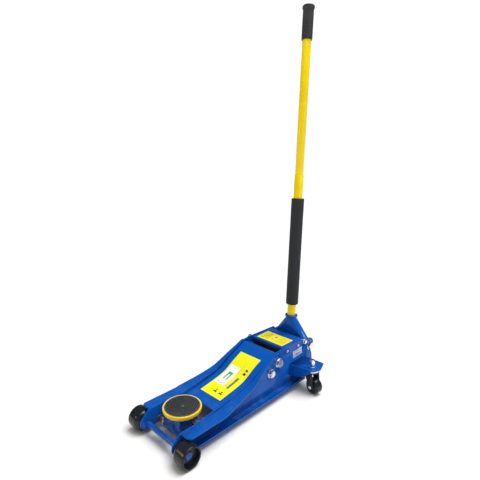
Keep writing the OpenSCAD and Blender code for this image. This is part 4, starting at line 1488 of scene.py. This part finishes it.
@dataclass
class Studio:
    """A plain pale floor, soft light and the camera.

    Attributes:
        eye: where the camera stands, in metres from the jack's origin.
        azimuth: the way it looks from, in degrees round from behind the saddle end.
        elevation: how far above the horizon it looks from, in degrees.
        lens: its focal length, in millimetres.
        sun: the key light's strength.
        sky: the strength of the light from all round.
        mirrored_sky: the strength that polished surfaces mirror of it.
        seen_sky: the strength that the camera sees behind the jack.
    """

    eye: tuple[float, float, float] = (0.9483, -0.984, 0.8747)
    azimuth: float = 44.13
    elevation: float = 10.39
    lens: float = 29.04
    sun: float = 2.9
    sky: float = 0.4
    mirrored_sky: float = 0.12
    seen_sky: float = 1.05

    def build(self) -> None:
        """Sets up the floor, the lights and the camera."""
        self._floor()
        self._sky()
        self._lights()
        self._camera()
        bpy.context.scene.view_settings.view_transform = "Standard"

    def _floor(self) -> None:
        """Lays the floor."""
        work = bmesh.new()
        bmesh.ops.create_grid(work, x_segments=2, y_segments=2, size=40)
        floor = finished(work, "floor")
        material = bpy.data.materials.new("pale_floor")
        material.use_nodes = True
        graph = Graph(material.node_tree)
        shader = material.node_tree.nodes["Principled BSDF"]
        place = graph.add("ShaderNodeTexCoord").outputs["Object"]
        near = graph.mix(graph.noise(place, 3.0), rgba((0.83, 0.82, 0.8)), rgba((0.82, 0.81, 0.79)))
        reach = graph.add("ShaderNodeVectorMath", {0: place}, operation="LENGTH").outputs["Value"]
        tint = graph.mix(graph.spread(reach, 0.9, 3.5), near, rgba((0.93, 0.93, 0.93)))
        graph.tree.links.new(tint, shader.inputs["Base Color"])
        shader.inputs["Roughness"].default_value = 0.7
        floor.data.materials.append(material)

    def _sky(self) -> None:
        """Fills the room with even light, and shows it white."""
        world = bpy.data.worlds.new("studio")
        world.use_nodes = True
        bpy.context.scene.world = world
        graph = Graph(world.node_tree)
        ground = world.node_tree.nodes["Background"]
        path = graph.add("ShaderNodeLightPath").outputs
        mirrored = graph.math("MULTIPLY", path["Is Glossy Ray"], self.mirrored_sky - self.sky)
        seen = graph.math("MULTIPLY", path["Is Camera Ray"], self.seen_sky - self.sky)
        strength = graph.math("ADD", graph.math("ADD", seen, mirrored), self.sky)
        graph.tree.links.new(strength, ground.inputs["Strength"])
        ground.inputs["Color"].default_value = (1, 1, 1, 1)

    def _lights(self) -> None:
        """Hangs the key light and the soft boxes."""
        self._lamp("key", "SUN", (0.5, 0.5, 2), (-0.22, -0.34, -1), self.sun, angle=math.radians(42))
        self._lamp("top_box", "AREA", (0.4, -0.6, 2.4), (-0.1, 0.2, -1), strength=10, size=(1.6, 1.6))
        self._lamp("side_box", "AREA", (2.4, 0.2, 1.3), (-1, -0.05, -0.45), strength=5, size=(1.2, 1.2))
        self._lamp("warm_strip", "AREA", (-1.43, -2.4, 1.09), (0.63, 0.66, -0.41), strength=12,
                   size=(1.0, 0.14), tint=(1.0, 0.72, 0.42), mirrored_only=True)

    @staticmethod
    def _lamp(name: str, kind: str, place: tuple[float, float, float], way: tuple[float, float, float],
              strength: float, size: tuple[float, float] = (1.0, 1.0), angle: float = 0.0,
              tint: tuple[float, float, float] = (1.0, 1.0, 1.0), mirrored_only: bool = False) -> None:
        """Adds a light that shines along a direction.

        Args:
            name: the light's name.
            kind: SUN or AREA.
            place: where it hangs.
            way: the direction that it shines in.
            strength: its power in watts, or watts a square metre for a sun.
            size: an area light's width and height, in metres.
            angle: a sun's spread, in radians.
            tint: its colour.
            mirrored_only: True where it is only to be seen mirrored in polished surfaces.
        """
        light = bpy.data.lights.new(name, kind)
        light.energy = strength
        light.color = tint
        if kind == "AREA":
            light.shape = "RECTANGLE"
            light.size, light.size_y = size
        else:
            light.angle = angle
        lamp = bpy.data.objects.new(name, light)
        lamp.matrix_world = aimed(place, Vector(way))
        lamp.visible_diffuse = not mirrored_only
        bpy.context.scene.collection.objects.link(lamp)

    def _camera(self) -> None:
        """Stands the camera where it sees the jack from above its front right corner."""
        camera = bpy.data.cameras.new("camera")
        camera.lens = self.lens
        camera.sensor_width = 36.0
        camera.clip_end = 200
        around, above = math.radians(self.azimuth), math.radians(self.elevation)
        back = Vector((math.sin(around) * math.cos(above), -math.cos(around) * math.cos(above),
                       math.sin(above)))
        view = bpy.data.objects.new("camera", camera)
        view.matrix_world = aimed(self.eye, -back)
        bpy.context.scene.collection.objects.link(view)
        bpy.context.scene.camera = view


def main() -> None:
    """Builds the jack's looks in order."""
    Studio().build()
    shop = Workshop()
    parts = [Chassis(shop), FrontRollers(shop), LiftGear(shop), SaddleHead(shop), PumpUnit(shop),
             Handle(shop), Caster(shop, Side.RIGHT), Caster(shop, Side.LEFT), CasterBolts(shop), Labels(shop)]
    for part in parts:
        part.build()
        log.info("%s is done", type(part).__name__)


if __name__ == "__main__":
    main()
